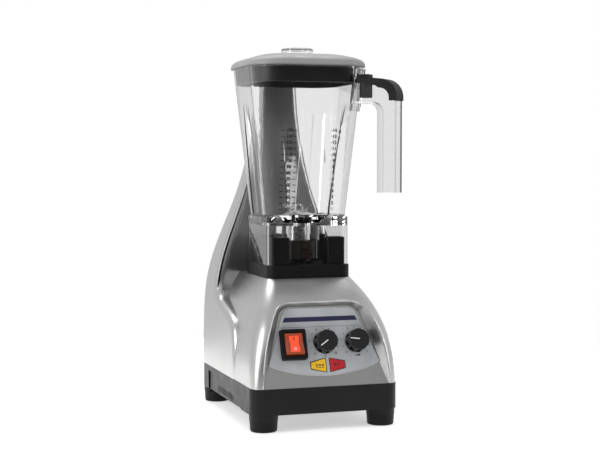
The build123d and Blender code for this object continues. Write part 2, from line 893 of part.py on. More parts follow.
with BuildPart() as motor_shaft:
    with BuildSketch(Plane.XY.offset(shaft_low)):
        Circle(shaft_radius)
    extrude(amount=shaft_top - shaft_low)
motor_shaft.part.label = "motor_shaft"
pieces.append(motor_shaft.part)

with BuildPart() as armature_core:
    with BuildSketch(Plane.XY.offset(stack_z)):
        Circle(rotor_radius)
        with PolarLocations(rotor_radius - 3, 12):
            Rectangle(8, 2.4, mode=Mode.SUBTRACT)
        Circle(shaft_radius, mode=Mode.SUBTRACT)
    extrude(amount=stack_height)
armature_core.part.label = "armature_core"
pieces.append(armature_core.part)

with BuildPart() as armature_windings:
    for level in (stack_z - winding_height, stack_top):
        with BuildSketch(Plane.XY.offset(level)):
            Circle(rotor_radius - 4)
            Circle(shaft_radius, mode=Mode.SUBTRACT)
        extrude(amount=winding_height)
    fillet(
        [
            edge
            for edge in armature_windings.edges().filter_by(GeomType.CIRCLE)
            if edge.radius > shaft_radius + 1
        ],
        radius=3,
    )
armature_windings.part.label = "armature_windings"
pieces.append(armature_windings.part)

with BuildPart() as commutator:
    with BuildSketch(Plane.XY.offset(commutator_z)):
        Circle(commutator_radius)
        Circle(shaft_radius, mode=Mode.SUBTRACT)
        with PolarLocations(commutator_radius, 24):
            Rectangle(2, 0.6, mode=Mode.SUBTRACT)
    extrude(amount=commutator_height)
commutator.part.label = "commutator"
pieces.append(commutator.part)

with BuildPart() as cooling_fan:
    with BuildSketch(Plane.XY.offset(fan_z)):
        Circle(fan_radius)
        Circle(shaft_radius, mode=Mode.SUBTRACT)
    extrude(amount=2)
    with BuildSketch(Plane.XY.offset(fan_z)):
        Circle(shaft_radius + 5)
        Circle(shaft_radius, mode=Mode.SUBTRACT)
        with PolarLocations((fan_radius + shaft_radius + 4) / 2, 11):
            Rectangle(fan_radius - shaft_radius - 5, 1.8, rotation=25)
    extrude(amount=fan_height)
cooling_fan.part.label = "cooling_fan"
pieces.append(cooling_fan.part)

with BuildPart() as drive_coupling:
    with BuildSketch(Plane.XY.offset(coupling_z)):
        Circle(shaft_radius + 6)
    extrude(amount=seat_z + 6 - coupling_z)
    with BuildSketch(Plane.XY.offset(seat_z + 2)):
        Circle(deck_hole_radius - 3)
    extrude(amount=4)
    extrude(star_stub, amount=coupling_top - seat_z - 6)
    with BuildSketch(Plane.XY.offset(coupling_z)):
        Circle(shaft_radius)
    extrude(amount=shaft_top - coupling_z, mode=Mode.SUBTRACT)
drive_coupling.part.label = "drive_coupling"
pieces.append(drive_coupling.part)

# ==== jar ============================================================================
nut_radius = 28.0
nut_height = 26.0
nut_top = seat_z + 32.0
nut_z = nut_top - nut_height
boss_bottom = nut_top
jar_boss_radius = 31.0
stem_radius = 12.6
dish_radius = 36.0
dish_floor_z = shelf_z - 9.0
body_z = shelf_z


def jar_section(z, half, corner, flute):
    """The jar's outline at height z: a rounded square with a hollow in each side."""
    spread = flute_half * (0.5 + 0.5 * flute / flute_depth)
    run = min(spread, half - corner - 0.5)
    with BuildSketch(Plane.XY.offset(z)) as section:
        with BuildLine():
            for turn in (0, 90, 180, 270):
                points = [
                    Vector(x, y).rotate(Axis.Z, turn)
                    for x, y in (
                        (half, corner - half),
                        (half, -run),
                        (half - flute, 0),
                        (half, run),
                        (half, half - corner),
                        (half - corner, half),
                    )
                ]
                Polyline(points[:5])
                RadiusArc(points[4], points[5], -corner)
        make_face()
    return section.sketch


def jar_half(z):
    """Half width of the jar body at height z."""
    rise = (z - body_z) / (rim_z - body_z)
    return jar_foot_half + (jar_rim_half - jar_foot_half) * rise


def jar_body(inset, low_z, high_z):
    sections = []
    for share in (0, 0.12, 0.28, 0.42, 0.55, 0.66, 0.74, 0.8, 0.86, 0.93, 1):
        z = low_z + share * (high_z - low_z)
        rise = (z - body_z) / (rim_z - body_z)
        corner = jar_foot_round + (jar_rim_round - jar_foot_round) * rise
        fade = max(0, 1 - max(0, rise) / 0.76)
        flute = flute_depth * sin(pi / 2 * fade) + 0.02
        sections.append(jar_section(z, jar_half(z) - inset, corner - inset, flute))
    with BuildPart() as form:
        loft(sections=sections)
    return form.part


jar_outer = jar_body(0, body_z - 2, rim_z)
jar_inner = jar_body(jar_wall, body_z + 3, rim_z + 3)
skirt_outline = square_section(seat_z, jar_skirt_half, jar_skirt_round)
skirt_inside = square_section(seat_z, jar_skirt_half - jar_wall, jar_skirt_round - jar_wall)

# Handle, drawn on the upright plane through the drive axis and the front right corner.
handle_plane = Plane(
    origin=(0, 0, 0), x_dir=(1, -1, 0), z_dir=(-1, -1, 0)
)
grip_outer = grip_inner + grip_depth
arm_top = rim_z - 13.0
arm_low = arm_top - arm_height
grip_low = arm_top - 16 - grip_length
handle_wall = 3.0
cover_skin = 1.6
cover_depth = 10.0


def jar_corner(z):
    """Distance from the drive axis to the rounded corner of the jar at height z."""
    rise = (z - body_z) / (rim_z - body_z)
    corner = jar_foot_round + (jar_rim_round - jar_foot_round) * rise
    return jar_half(z) * sqrt(2) - (sqrt(2) - 1) * corner


arm_root = jar_corner(arm_low)


def handle_outline(grow):
    """Side view of the handle: the arm out from the jar and the grip hanging from it."""
    with BuildSketch(handle_plane) as outline:
        with BuildLine():
            Polyline(
                (arm_root - 14, arm_top + grow),
                (grip_outer + grow, arm_top - 9 + grow),
                (grip_outer + grow, grip_low),
                (grip_inner - grow, grip_low),
                (grip_inner - grow, arm_low - grow),
                (arm_root - 14, arm_low - grow),
                close=True,
            )
        make_face()
        outer = outline.vertices().sort_by_distance((grip_outer, arm_top - 9))[0]
        fillet(outer, radius=24 + grow)
        inner = outline.vertices().sort_by_distance((grip_inner, arm_low))[0]
        fillet(inner, radius=14 - grow)
    return outline.sketch


handle_face = handle_outline(0)
handle_hollow = handle_outline(-handle_wall)
cover_face = handle_outline(cover_skin)
cover_under = handle_outline(-cover_depth)

with BuildPart() as handle_solid:
    extrude(handle_face, amount=handle_width / 2, both=True)
    with BuildSketch(handle_plane):
        with BuildLine():
            flange_low = arm_low - 10
            Polyline(
                (arm_root - 14, rim_z - 3),
                (jar_corner(rim_z - 3) + 3.5, rim_z - 3),
                (jar_corner(flange_low) + 3.5, flange_low),
                (arm_root - 14, flange_low),
                close=True,
            )
        make_face()
    extrude(amount=handle_width / 2 + 3, both=True)

tab_from = arm_root + 10
tab_length = 13.0
with BuildPart() as jar_handle:
    add(handle_solid.part)
    with BuildSketch(handle_plane):
        add(handle_hollow)
        with Locations((arm_root - 10, arm_low)):
            Rectangle(2 * 14, 4 * arm_height, mode=Mode.SUBTRACT)
    extrude(amount=handle_width / 2 - handle_wall, both=True, mode=Mode.SUBTRACT)
    with BuildSketch(handle_plane):
        with Locations((grip_inner + grip_depth / 2, grip_low)):
            Rectangle(grip_depth - 2 * handle_wall, 10)
    extrude(amount=handle_width / 2 - handle_wall, both=True, mode=Mode.SUBTRACT)
    with BuildSketch(handle_plane):
        with Locations((tab_from + tab_length / 2, arm_top - 6)):
            Rectangle(tab_length, 30)
    extrude(amount=handle_width / 2 - handle_wall, both=True, mode=Mode.SUBTRACT)
    add(jar_outer, mode=Mode.SUBTRACT)
jar_handle.part.label = "jar_handle"
pieces.append(jar_handle.part)

with BuildPart() as handle_grip:
    with BuildSketch(handle_plane) as band:
        add(cover_face)
        add(cover_under, mode=Mode.SUBTRACT)
        with BuildLine():
            Polyline(
                (arm_root + 8, arm_top + 8),
                (grip_outer + 8, arm_top + 8),
                (grip_outer + 8, arm_low + 3),
                (grip_outer - 13, arm_low + 3),
                (grip_outer - 15, arm_low + 12),
                (grip_inner - 2, arm_top - 14),
                (arm_root + 8, arm_top - 10),
                close=True,
            )
        make_face(mode=Mode.INTERSECT)
    extrude(amount=handle_width / 2 + cover_skin, both=True)
    add(handle_solid.part, mode=Mode.SUBTRACT)
    with BuildSketch(handle_plane):
        with Locations((tab_from + tab_length / 2, arm_top - 14)):
            Rectangle(tab_length - 0.2, 32)
    extrude(amount=handle_width / 2 - handle_wall - 0.1, both=True)
handle_grip.part.label = "handle_grip"
pieces.append(handle_grip.part)

with BuildPart() as jar_shell:
    extrude(skirt_outline, amount=shelf_z - seat_z)
    extrude(skirt_inside, amount=shelf_z - jar_shelf_thick - seat_z, mode=Mode.SUBTRACT)
    add(jar_outer)
    add(jar_inner, mode=Mode.SUBTRACT)
    with BuildSketch(Plane.XY.offset(dish_floor_z)):
        Circle(dish_radius - 10)
    with BuildSketch(Plane.XY.offset(body_z + 4)):
        Circle(dish_radius + 4)
    loft(mode=Mode.SUBTRACT)
    with BuildSketch(Plane.XY.offset(boss_bottom)):
        Circle(jar_boss_radius)
    extrude(amount=dish_floor_z - boss_bottom)
    with BuildSketch(Plane.XY.offset(boss_bottom)):
        Circle(stem_radius + fit_gap)
    extrude(amount=dish_floor_z - boss_bottom, mode=Mode.SUBTRACT)
jar_shell.part.label = "jar_shell"
pieces.append(jar_shell.part)

# ==== blade unit and its housing =====================================================
spindle_radius = 4.0
small_bearing = 9.0
housing_flange_z = dish_floor_z + 1.0
blade_thick = 2.0
blade_z = dish_floor_z + 13.0
blade_half = 31.0
blade_width = 15.0

with BuildPart() as housing_gasket:
    with BuildSketch(Plane.XY.offset(dish_floor_z)):
        Circle(22)
        Circle(stem_radius, mode=Mode.SUBTRACT)
    extrude(amount=housing_flange_z - dish_floor_z)
housing_gasket.part.label = "housing_gasket"
pieces.append(housing_gasket.part)

stem_bottom = nut_z + 16.5
with BuildPart() as bearing_housing:
    with BuildSketch(Plane.XY.offset(stem_bottom)):
        Circle(stem_radius)
    extrude(amount=housing_flange_z - stem_bottom)
    with BuildSketch(Plane.XY.offset(housing_flange_z)):
        RegularPolygon(22, 6)
    extrude(amount=3)
    with BuildSketch(Plane.XY.offset(housing_flange_z + 3)):
        Circle(16)
    with BuildSketch(Plane.XY.offset(blade_z - 1.5)):
        Circle(10)
    loft()
    with BuildSketch(Plane.XY.offset(stem_bottom)):
        Circle(small_bearing)
    extrude(amount=blade_z - 5 - stem_bottom, mode=Mode.SUBTRACT)
    with BuildSketch(Plane.XY.offset(stem_bottom)):
        Circle(spindle_radius + 0.1)
    extrude(amount=blade_z - stem_bottom, mode=Mode.SUBTRACT)
bearing_housing.part.label = "bearing_housing"
pieces.append(bearing_housing.part)

with BuildPart() as spindle_bearings:
    for level in (stem_bottom + 0.5, blade_z - 5 - 7):
        with BuildSketch(Plane.XY.offset(level)):
            Circle(small_bearing)
            Circle(spindle_radius + bore_gap, mode=Mode.SUBTRACT)
        extrude(amount=7)
spindle_bearings.part.label = "spindle_bearings"
pieces.append(spindle_bearings.part)

with BuildPart() as retainer_nut:
    with BuildSketch(Plane.XY.offset(nut_z)):
        Circle(nut_radius)
        with PolarLocations(nut_radius + 4, 8):
            Circle(7, mode=Mode.SUBTRACT)
    extrude(amount=nut_height)
    with BuildSketch(Plane.XY.offset(nut_z)):
        Circle(stem_radius + bore_gap)
    extrude(amount=nut_height, mode=Mode.SUBTRACT)
    with BuildSketch(Plane.XY.offset(nut_z)):
        Circle(nut_radius - 8)
    extrude(amount=16, mode=Mode.SUBTRACT)
retainer_nut.part.label = "retainer_nut"
pieces.append(retainer_nut.part)

nut_seat = blade_z + 2 * blade_thick
with BuildPart() as blade_spindle:
    with BuildSketch(Plane.XY.offset(coupling_top + 1)):
        Circle(spindle_radius)
    extrude(amount=nut_seat + 5 - coupling_top - 1)
blade_spindle.part.label = "blade_spindle"
pieces.append(blade_spindle.part)


def blade(level, bend, turn):
    """A two-pointed blade whose ends are bent by the given angle."""
    flat = 11.0
    reach = blade_half - flat
    drop = reach * sin(radians(bend))
    run = reach * cos(radians(bend))
    rise = blade_thick
    with BuildPart() as piece:
        with BuildSketch(Plane.XZ.rotated((0, 0, turn))):
            with BuildLine():
                Polyline(
                    (-flat - run, level + drop),
                    (-flat, level),
                    (flat, level),
                    (flat + run, level + drop),
                    (flat + run, level + drop + rise),
                    (flat, level + rise),
                    (-flat, level + rise),
                    (-flat - run, level + drop + rise),
                    close=True,
                )
            make_face()
        extrude(amount=blade_width / 2, both=True)
        with BuildSketch(Plane.XY.offset(level - 30)):
            with BuildLine():
                Polyline(
                    *[
                        Vector(x, y).rotate(Axis.Z, turn)
                        for x, y in (
                            (-flat - run + 0.5, 2),
                            (-flat, blade_width / 2),
                            (flat, blade_width / 2),
                            (flat + run - 0.5, -2),
                            (flat, -blade_width / 2),
                            (-flat, -blade_width / 2),
                        )
                    ],
                    close=True,
                )
            make_face()
            Circle(spindle_radius, mode=Mode.SUBTRACT)
        extrude(amount=60, mode=Mode.INTERSECT)
    return piece.part


lower_blade_form = blade(blade_z, -8, 35)
with BuildPart() as lower_blade:
    add(lower_blade_form)
lower_blade.part.label = "lower_blade"
pieces.append(lower_blade.part)

upper_blade_form = blade(blade_z + blade_thick, 28, 125)
with BuildPart() as upper_blade:
    add(upper_blade_form)
upper_blade.part.label = "upper_blade"
pieces.append(upper_blade.part)

with BuildPart() as blade_nut:
    with BuildSketch(Plane.XY.offset(nut_seat)):
        RegularPolygon(8, 6)
    extrude(amount=6)
    with BuildSketch(Plane.XY.offset(nut_seat + 6)):
        Circle(6)
    extrude(amount=3)
    fillet(blade_nut.edges().group_by(Axis.Z)[-1], radius=2.5)
    with BuildSketch(Plane.XY.offset(nut_seat)):
        Circle(spindle_radius)
    extrude(amount=5, mode=Mode.SUBTRACT)
blade_nut.part.label = "blade_nut"
pieces.append(blade_nut.part)

with BuildPart() as driven_coupling:
    with BuildSketch(Plane.XY.offset(seat_z + 7)):
        Circle(star_radius + 5)
    extrude(amount=coupling_top + 4 - seat_z - 7)
    extrude(star_socket, amount=coupling_top + 0.5 - seat_z - 7, mode=Mode.SUBTRACT)
    with BuildSketch(Plane.XY.offset(coupling_top + 1)):
        Circle(spindle_radius)
    extrude(amount=3, mode=Mode.SUBTRACT)
driven_coupling.part.label = "driven_coupling"
pieces.append(driven_coupling.part)

# ==== lid ============================================================================
lid_half = jar_rim_half + lid_overhang
cap_hole = cap_radius - 2.6
dome_z = rim_z + lid_brim


def plug_form(inset, low_z, high_z):
    sections = []
    for z in (low_z, high_z):
        rise = (z - body_z) / (rim_z - body_z)
        corner = jar_foot_round + (jar_rim_round - jar_foot_round) * rise
        sections.append(square_section(z, jar_half(z) - inset, corner - inset))
    with BuildPart() as form:
        loft(sections=sections)
    return form.part


dome_sections = []
for angle in (0, 18, 36, 54, 72, 90):
    half = 28 + (lid_half - 28) * cos(radians(angle))
    dome_sections.append(
        square_section(
            dome_z + lid_rise * sin(radians(angle)), half, jar_rim_round * half / lid_half
        )
    )
plug_outer = plug_form(jar_wall + fit_gap, rim_z - plug_depth, rim_z)
plug_inner = plug_form(jar_wall + 6, rim_z - plug_depth - 2, rim_z + 5)
brim_section = square_section(rim_z, lid_half, jar_rim_round)

with BuildPart() as lid:
    loft(sections=dome_sections)
    extrude(brim_section, amount=lid_brim)
    add(plug_outer)
    add(plug_inner, mode=Mode.SUBTRACT)
    with BuildSketch(Plane.XY.offset(rim_z - plug_depth + 8)):
        Circle(cap_hole + 3.5)
    extrude(amount=plug_depth + lid_brim)
    with BuildSketch(Plane.XY.offset(rim_z - plug_depth)):
        Circle(cap_hole)
    extrude(amount=plug_depth + 3 * lid_rise, mode=Mode.SUBTRACT)
lid.part.label = "lid"
pieces.append(lid.part)

cap_seat = dome_z + lid_rise
cap_wall = 2.5
with BuildPart() as lid_cap:
    with BuildSketch(Plane.XY.offset(cap_seat)):
        Circle(cap_radius)
    extrude(amount=cap_rise)
    fillet(lid_cap.edges().group_by(Axis.Z)[-1], radius=1.5)
    with BuildSketch(Plane.XY.offset(cap_seat - plug_depth)):
        Circle(cap_hole - fit_gap)
    extrude(amount=plug_depth)
    with BuildSketch(Plane.XY.offset(cap_seat - plug_depth)):
        Circle(cap_hole - fit_gap - cap_wall)
    extrude(amount=plug_depth + cap_rise - cap_wall, mode=Mode.SUBTRACT)
lid_cap.part.label = "lid_cap"
pieces.append(lid_cap.part)

# ==== controls =======================================================================


def key_face(level, side, grow):
    """A key tapers away from the gap between the two keys."""
    with BuildSketch(panel.offset(level)) as outline:
        with BuildLine():
            near = key_gap_at[0] + side * (key_gap / 2 - grow)
            far = key_gap_at[0] + side * (key_gap / 2 + key_long + grow)
            middle = key_gap_at[1]
            tall, short = key_high / 2 + grow, key_tip / 2 + grow
            Polyline(
                (near, middle - tall),
                (near, middle + tall),
                (far, middle + short),
                (far, middle - short),
                close=True,
            )
        make_face()
        fillet(outline.vertices(), radius=1.5)
    return outline.sketch


plate_half_low = recess_half_low - 9.0
plate_half_high = recess_half_high - 4.5
plate_low = 30.5
plate_high = recess_length - 3.0
plate_drop = 16.0
key_openings = [key_face(0, side, fit_gap) for side in (-1, 1)]
with BuildPart() as control_panel:
    with BuildSketch(panel) as plate:
        with BuildLine():
            Polyline(
                (plate_half_low, plate_low),
                (plate_half_high, plate_high),
                (-plate_half_high, plate_high),
                (-plate_half_low, plate_low),
            )
            ThreePointArc(
                (-plate_half_low, plate_low),
                (0, plate_low - plate_drop),
                (plate_half_low, plate_low),
            )
        make_face()
        fillet(plate.vertices().group_by(Axis.Y)[-1], radius=recess_round - 5)
        with Locations(switch_at):
            Rectangle(
                barrel_width + 2 * fit_gap,
                barrel_length + 2 * fit_gap,
                mode=Mode.SUBTRACT,
            )
        with Locations(timer_at, speed_at):
            Circle(bushing_radius + bore_gap, mode=Mode.SUBTRACT)
    extrude(amount=panel_thick)
    for opening in key_openings:
        extrude(opening, amount=panel_thick, mode=Mode.SUBTRACT)
control_panel.part.label = "control_panel"
pieces.append(control_panel.part)

# Rocker switch: bezel, sealed body behind it and the rocker on its two pins.
bezel_top = 9.0
barrel_depth = 2.0
pin_radius = 1.4
with BuildPart() as switch_bezel:
    with BuildSketch(panel.offset(panel_thick)):
        with Locations(switch_at):
            RectangleRounded(switch_width, switch_length, 3)
    extrude(amount=bezel_top - panel_thick, taper=6)
    with BuildSketch(panel.offset(-barrel_depth)):
        with Locations(switch_at):
            Rectangle(barrel_width, barrel_length)
    extrude(amount=barrel_depth + panel_thick)
    with BuildSketch(panel.offset(-barrel_depth)):
        with Locations(switch_at):
            RectangleRounded(
                rocker_width + 2 * fit_gap, 2 * (rocker_half_length + fit_gap), 1
            )
    extrude(amount=barrel_depth + bezel_top, mode=Mode.SUBTRACT)
    with BuildSketch(
        Plane(
            origin=panel.from_local_coords((switch_at[0], switch_at[1], pivot_up)),
            x_dir=panel.y_dir,
            z_dir=(1, 0, 0),
        )
    ):
        Circle(pin_radius + bore_gap)
    extrude(amount=rocker_width / 2 + 1.6, both=True, mode=Mode.SUBTRACT)
switch_bezel.part.label = "switch_bezel"
pieces.append(switch_bezel.part)

switch_depth = 22.0
with BuildPart() as switch_body:
    with BuildSketch(panel.offset(-barrel_depth - switch_depth)):
        with Locations(switch_at):
            Rectangle(barrel_width, barrel_length)
    extrude(amount=switch_depth)
    with BuildSketch(panel.offset(-barrel_depth)):
        with Locations(switch_at):
            Rectangle(rocker_width + 2 * fit_gap, 2 * rocker_half_length)
    extrude(amount=-4, mode=Mode.SUBTRACT)
    # Terminals.
    with BuildSketch(panel.offset(-barrel_depth - switch_depth)):
        with Locations(switch_at):
            with GridLocations(14, 12, 2, 2):
                Rectangle(6, 0.8)
    extrude(amount=-8)
switch_body.part.label = "switch_body"
pieces.append(switch_body.part)

# The rocker rests with its upper end pressed.
rocker_tilt = 8.0
rocker_plane = Plane(
    origin=panel.from_local_coords((switch_at[0], switch_at[1], pivot_up)),
    x_dir=panel.y_dir * cos(radians(rocker_tilt))
    - panel.z_dir * sin(radians(rocker_tilt)),
    z_dir=(1, 0, 0),
)
rocker_rise = 7.5
with BuildPart() as rocker:
    with BuildSketch(rocker_plane) as side_view:
        with BuildLine():
            long = rocker_half_length - 0.6
            Polyline(
                (-long, -2.5),
                (long, -2.5),
                (long, rocker_rise),
                (0, rocker_rise - 1.6),
                (-long, rocker_rise),
                close=True,
            )
        make_face()
        Circle(rocker_half_length, mode=Mode.INTERSECT)
    extrude(amount=rocker_width / 2, both=True)
    fillet(
        [
            edge
            for edge in rocker.edges()
            if rocker_plane.to_local_coords(edge.center()).Y > 5
            and abs(rocker_plane.to_local_coords(edge.center()).X) > 1
        ],
        radius=0.8,
    )
    with BuildSketch(rocker_plane):
        Circle(pin_radius)
    extrude(amount=rocker_width / 2 + 1.5, both=True)
rocker.part.label = "rocker"
pieces.append(rocker.part)

# Knobs and potentiometers.
knob_low = 3.2
knob_places = {"timer": timer_at, "speed": speed_at}
nut_thick = 2.0
shaft_end = knob_low + knob_height - 3.0
pointer_turn = {"timer": 214.0, "speed": 172.0}
with BuildPart() as pot_nuts:
    with BuildSketch(panel.offset(panel_thick)):
        with Locations(*knob_places.values()):
            RegularPolygon(6.2, 6)
            Circle(bushing_radius, mode=Mode.SUBTRACT)
    extrude(amount=nut_thick)
pot_nuts.part.label = "pot_nuts"
pieces.append(pot_nuts.part)

for name, place in knob_places.items():
    with BuildPart() as pot:
        with BuildSketch(panel.offset(-wall)):
            with Locations(place):
                Circle(pot_radius)
        extrude(amount=-9)
        with BuildSketch(panel.offset(-wall)):
            with Locations(place):
                Circle(bushing_radius)
        extrude(amount=wall + panel_thick + nut_thick + 0.5)
        with BuildSketch(panel.offset(-wall - 6)):
            with Locations(place):
                Circle(pot_shaft_radius + bore_gap)
        extrude(amount=wall + 12, mode=Mode.SUBTRACT)
    pot.part.label = f"{name}_pot"
    pieces.append(pot.part)

    with BuildPart() as pot_shaft:
        with BuildSketch(panel.offset(-wall - 5.5)):
            with Locations(place):
                Circle(pot_shaft_radius)
        extrude(amount=wall + 5.5 + shaft_end)
    pot_shaft.part.label = f"{name}_pot_shaft"
    pieces.append(pot_shaft.part)

    with BuildPart() as knob:
        with BuildSketch(panel.offset(knob_low)):
            with Locations(place):
                Circle(knob_radius)
        extrude(amount=knob_height, taper=3)
        fillet(knob.edges().sort_by(Axis(panel.origin, panel.z_dir))[-1], radius=1.2)
        with BuildSketch(panel.offset(knob_low + 2.5)):
            with Locations(place):
                with PolarLocations(knob_radius + 2.6, 9, pointer_turn[name] + 20):
                    Circle(4.4)
        extrude(amount=knob_height, mode=Mode.SUBTRACT)
        with BuildSketch(panel.offset(knob_low)):
            with Locations(place):
                Circle(8)
        extrude(amount=4, mode=Mode.SUBTRACT)
        with BuildSketch(panel.offset(knob_low)):
            with Locations(place):
                Circle(pot_shaft_radius)
        extrude(amount=shaft_end - knob_low, mode=Mode.SUBTRACT)
    knob.part.label = f"{name}_knob"
    pieces.append(knob.part)

# Push keys: each cap has a stem that reaches the key switch on the board.
key_low = 0.6
key_top = panel_thick + 1.2
stem_low = -board_depth + 5.0
key_names = {"manual_key": -1, "auto_key": 1}
key_middle = {
    name: (key_gap_at[0] + side * (key_gap / 2 + key_long / 2 - 1.5), key_gap_at[1])
    for name, side in key_names.items()
}
for name, side in key_names.items():
    key_sketch = key_face(key_low, side, 0)
    with BuildPart() as key:
        extrude(key_sketch, amount=key_top - key_low)
        fillet(
            key.faces().sort_by(Axis(panel.origin, panel.z_dir))[-1].edges(),
            radius=0.5,
        )
        with BuildSketch(panel.offset(stem_low)):
            with Locations(key_middle[name]):
                Circle(2)
        extrude(amount=key_low - stem_low)
    key.part.label = name
    pieces.append(key.part)

with BuildPart() as control_board:
    with BuildSketch(panel.offset(-board_depth - board_thick)):
        with Locations((22, 44)):
            Rectangle(88, 70)
    extrude(amount=board_thick)
    with BuildSketch(panel.offset(-board_depth)):
        with Locations((40, 20), (52, 30)):
            Rectangle(9, 7)
    extrude(amount=4)
    # The two key switches and their plungers.
    with BuildSketch(panel.offset(-board_depth)):
        with Locations(*key_middle.values()):
            Rectangle(6, 6)
    extrude(amount=3)
    with BuildSketch(panel.offset(-board_depth)):
        with Locations(*key_middle.values()):
            Circle(1.5)
    extrude(amount=stem_low + board_depth - key_travel - 0.1)
control_board.part.label = "control_board"
pieces.append(control_board.part)

# ---- the origin: the middle of the whole, on the surface that the feet stand on ---------
boxes = [piece.bounding_box() for piece in pieces]
middle_x = (min(box.min.X for box in boxes) + max(box.max.X for box in boxes)) / 2
middle_y = (min(box.min.Y for box in boxes) + max(box.max.Y for box in boxes)) / 2
for piece in pieces:
    piece.move(Location((-middle_x, -middle_y, 0)))
    export_step(piece, f"parts/{piece.label}.step")
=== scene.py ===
import json
import math

import bpy
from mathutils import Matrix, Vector
from mathutils.bvhtree import BVHTree


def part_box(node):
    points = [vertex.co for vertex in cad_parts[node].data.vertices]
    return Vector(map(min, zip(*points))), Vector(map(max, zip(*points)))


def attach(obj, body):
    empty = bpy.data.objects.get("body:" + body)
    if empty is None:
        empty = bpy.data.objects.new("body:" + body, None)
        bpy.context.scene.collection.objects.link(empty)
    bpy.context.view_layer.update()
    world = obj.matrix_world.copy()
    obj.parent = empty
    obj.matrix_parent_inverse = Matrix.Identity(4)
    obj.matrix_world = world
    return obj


# Countertop blender, in metres. X points to the right, Y to the back and Z up.
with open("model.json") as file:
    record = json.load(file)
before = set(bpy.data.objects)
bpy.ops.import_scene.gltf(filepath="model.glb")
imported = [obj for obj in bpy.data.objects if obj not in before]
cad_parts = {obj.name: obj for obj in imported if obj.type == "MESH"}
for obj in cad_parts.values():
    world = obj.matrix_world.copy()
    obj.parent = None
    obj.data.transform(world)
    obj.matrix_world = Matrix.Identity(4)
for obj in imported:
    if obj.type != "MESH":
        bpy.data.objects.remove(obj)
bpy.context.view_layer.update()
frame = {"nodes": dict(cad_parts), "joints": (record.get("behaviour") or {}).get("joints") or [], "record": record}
nodes = frame["nodes"]
joints = {joint["name"]: joint for joint in frame["joints"]}
MM = 0.001
spin_at = Vector(joints["motor_spin"]["pos_m"])
drive_axis = Vector((spin_at.x, spin_at.y, 0))  # where the drive axis meets the bench

# ---- the control panel's own axes, from the knob's hinge -----------------------------
panel_right = Vector((1, 0, 0))
panel_out = Vector(joints["timer_turn"]["axis"]).normalized()
panel_up = panel_out.cross(panel_right)
TIMER_AT = (2.0, 59.0)  # places on the panel, in mm
SPEED_AT = (47.0, 59.0)
SWITCH_AT = (-42.0, 57.5)
KEY_GAP_AT = (4.0, 28.5)
panel_zero = (
    Vector(joints["timer_turn"]["pos_m"])
    - panel_right * TIMER_AT[0] * MM
    - panel_up * TIMER_AT[1] * MM
)
POINTER_TURN = {"timer": 214.0, "speed": 172.0}
LID_DOME_RISE = 0.0205  # top of the lid down to its brim
PRINT_LIFT = 0.00008  # printed marks stand this far off their surface


# ==== materials ========================================================================


class Look:
    """A Principled material that is built up in steps."""

    def __init__(self, name, color, roughness, **sockets):
        self.mat = bpy.data.materials.new(name)
        self.mat.use_nodes = True
        self.tree = self.mat.node_tree
        self.bsdf = self.tree.nodes["Principled BSDF"]
        self.color = (*color, 1.0)
        self.roughness = roughness
        self.set("Base Color", self.color)
        self.set("Roughness", roughness)
        for socket, value in sockets.items():
            self.set(socket.replace("_", " "), value)
        self.coords = None
        self.bump = None

    def set(self, socket, value):
        self.bsdf.inputs[socket].default_value = value

    def node(self, kind, **settings):
        made = self.tree.nodes.new("ShaderNode" + kind)
        for key, value in settings.items():
            if key in made.inputs:
                made.inputs[key].default_value = value
            else:
                setattr(made, key, value)
        return made

    def link(self, source, target):
        self.tree.links.new(source, target)

    def place(self, stretch=(1, 1, 1)):
        """Coordinates in the row frame, stretched."""
        if self.coords is None:
            self.coords = self.node("TexCoord").outputs["Object"]
        mapping = self.node("Mapping")
        mapping.inputs["Scale"].default_value = stretch
        self.link(self.coords, mapping.inputs["Vector"])
        return mapping.outputs["Vector"]

    def noise(self, scale, stretch=(1, 1, 1), detail=3.0):
        made = self.node("TexNoise", Scale=scale, Detail=detail)
        self.link(self.place(stretch), made.inputs["Vector"])
        return made.outputs["Fac"]

    def spread(self, source, low, high, start=0.3, end=0.7):
        made = self.node("MapRange")
        for name, value in (
            ("From Min", start),
            ("From Max", end),
            ("To Min", low),
            ("To Max", high),
        ):
            made.inputs[name].default_value = value
        self.link(source, made.inputs["Value"])
        return made.outputs["Result"]

    def vary_roughness(self, source, amount):
        result = self.spread(source, self.roughness - amount, self.roughness + amount)
        self.link(result, self.bsdf.inputs["Roughness"])
        return self

    def vary_color(self, source, amount):
        ramp = self.node("ValToRGB")
        ramp.color_ramp.elements[0].position = 0.3
        ramp.color_ramp.elements[1].position = 0.7
        for element, sign in zip(ramp.color_ramp.elements, (-1, 1)):
            shade = [c * (1 + sign * amount) for c in self.color[:3]]
            element.color = (*shade, 1.0)
        self.link(source, ramp.inputs["Fac"])
        self.link(ramp.outputs["Color"], self.bsdf.inputs["Base Color"])
        return self

    def raise_by(self, source, distance, strength=1.0):
        """Adds a bump of that depth on top of the bumps already there."""
        made = self.node("Bump", Distance=distance, Strength=strength)
        self.link(source, made.inputs["Height"])
        if self.bump is not None:
            self.link(self.bump.outputs["Normal"], made.inputs["Normal"])
        self.link(made.outputs["Normal"], self.bsdf.inputs["Normal"])
        self.bump = made
        return self


def silver_look():
    look = Look("silver_paint", (0.55, 0.548, 0.545), 0.31, Metallic=1.0)
    brushed = look.noise(700, (1, 1, 0.02), 2)
    look.vary_roughness(brushed, 0.035)
    look.vary_color(look.noise(9, detail=4), 0.03)
    look.raise_by(brushed, 0.00002, 0.5)
    return look.mat


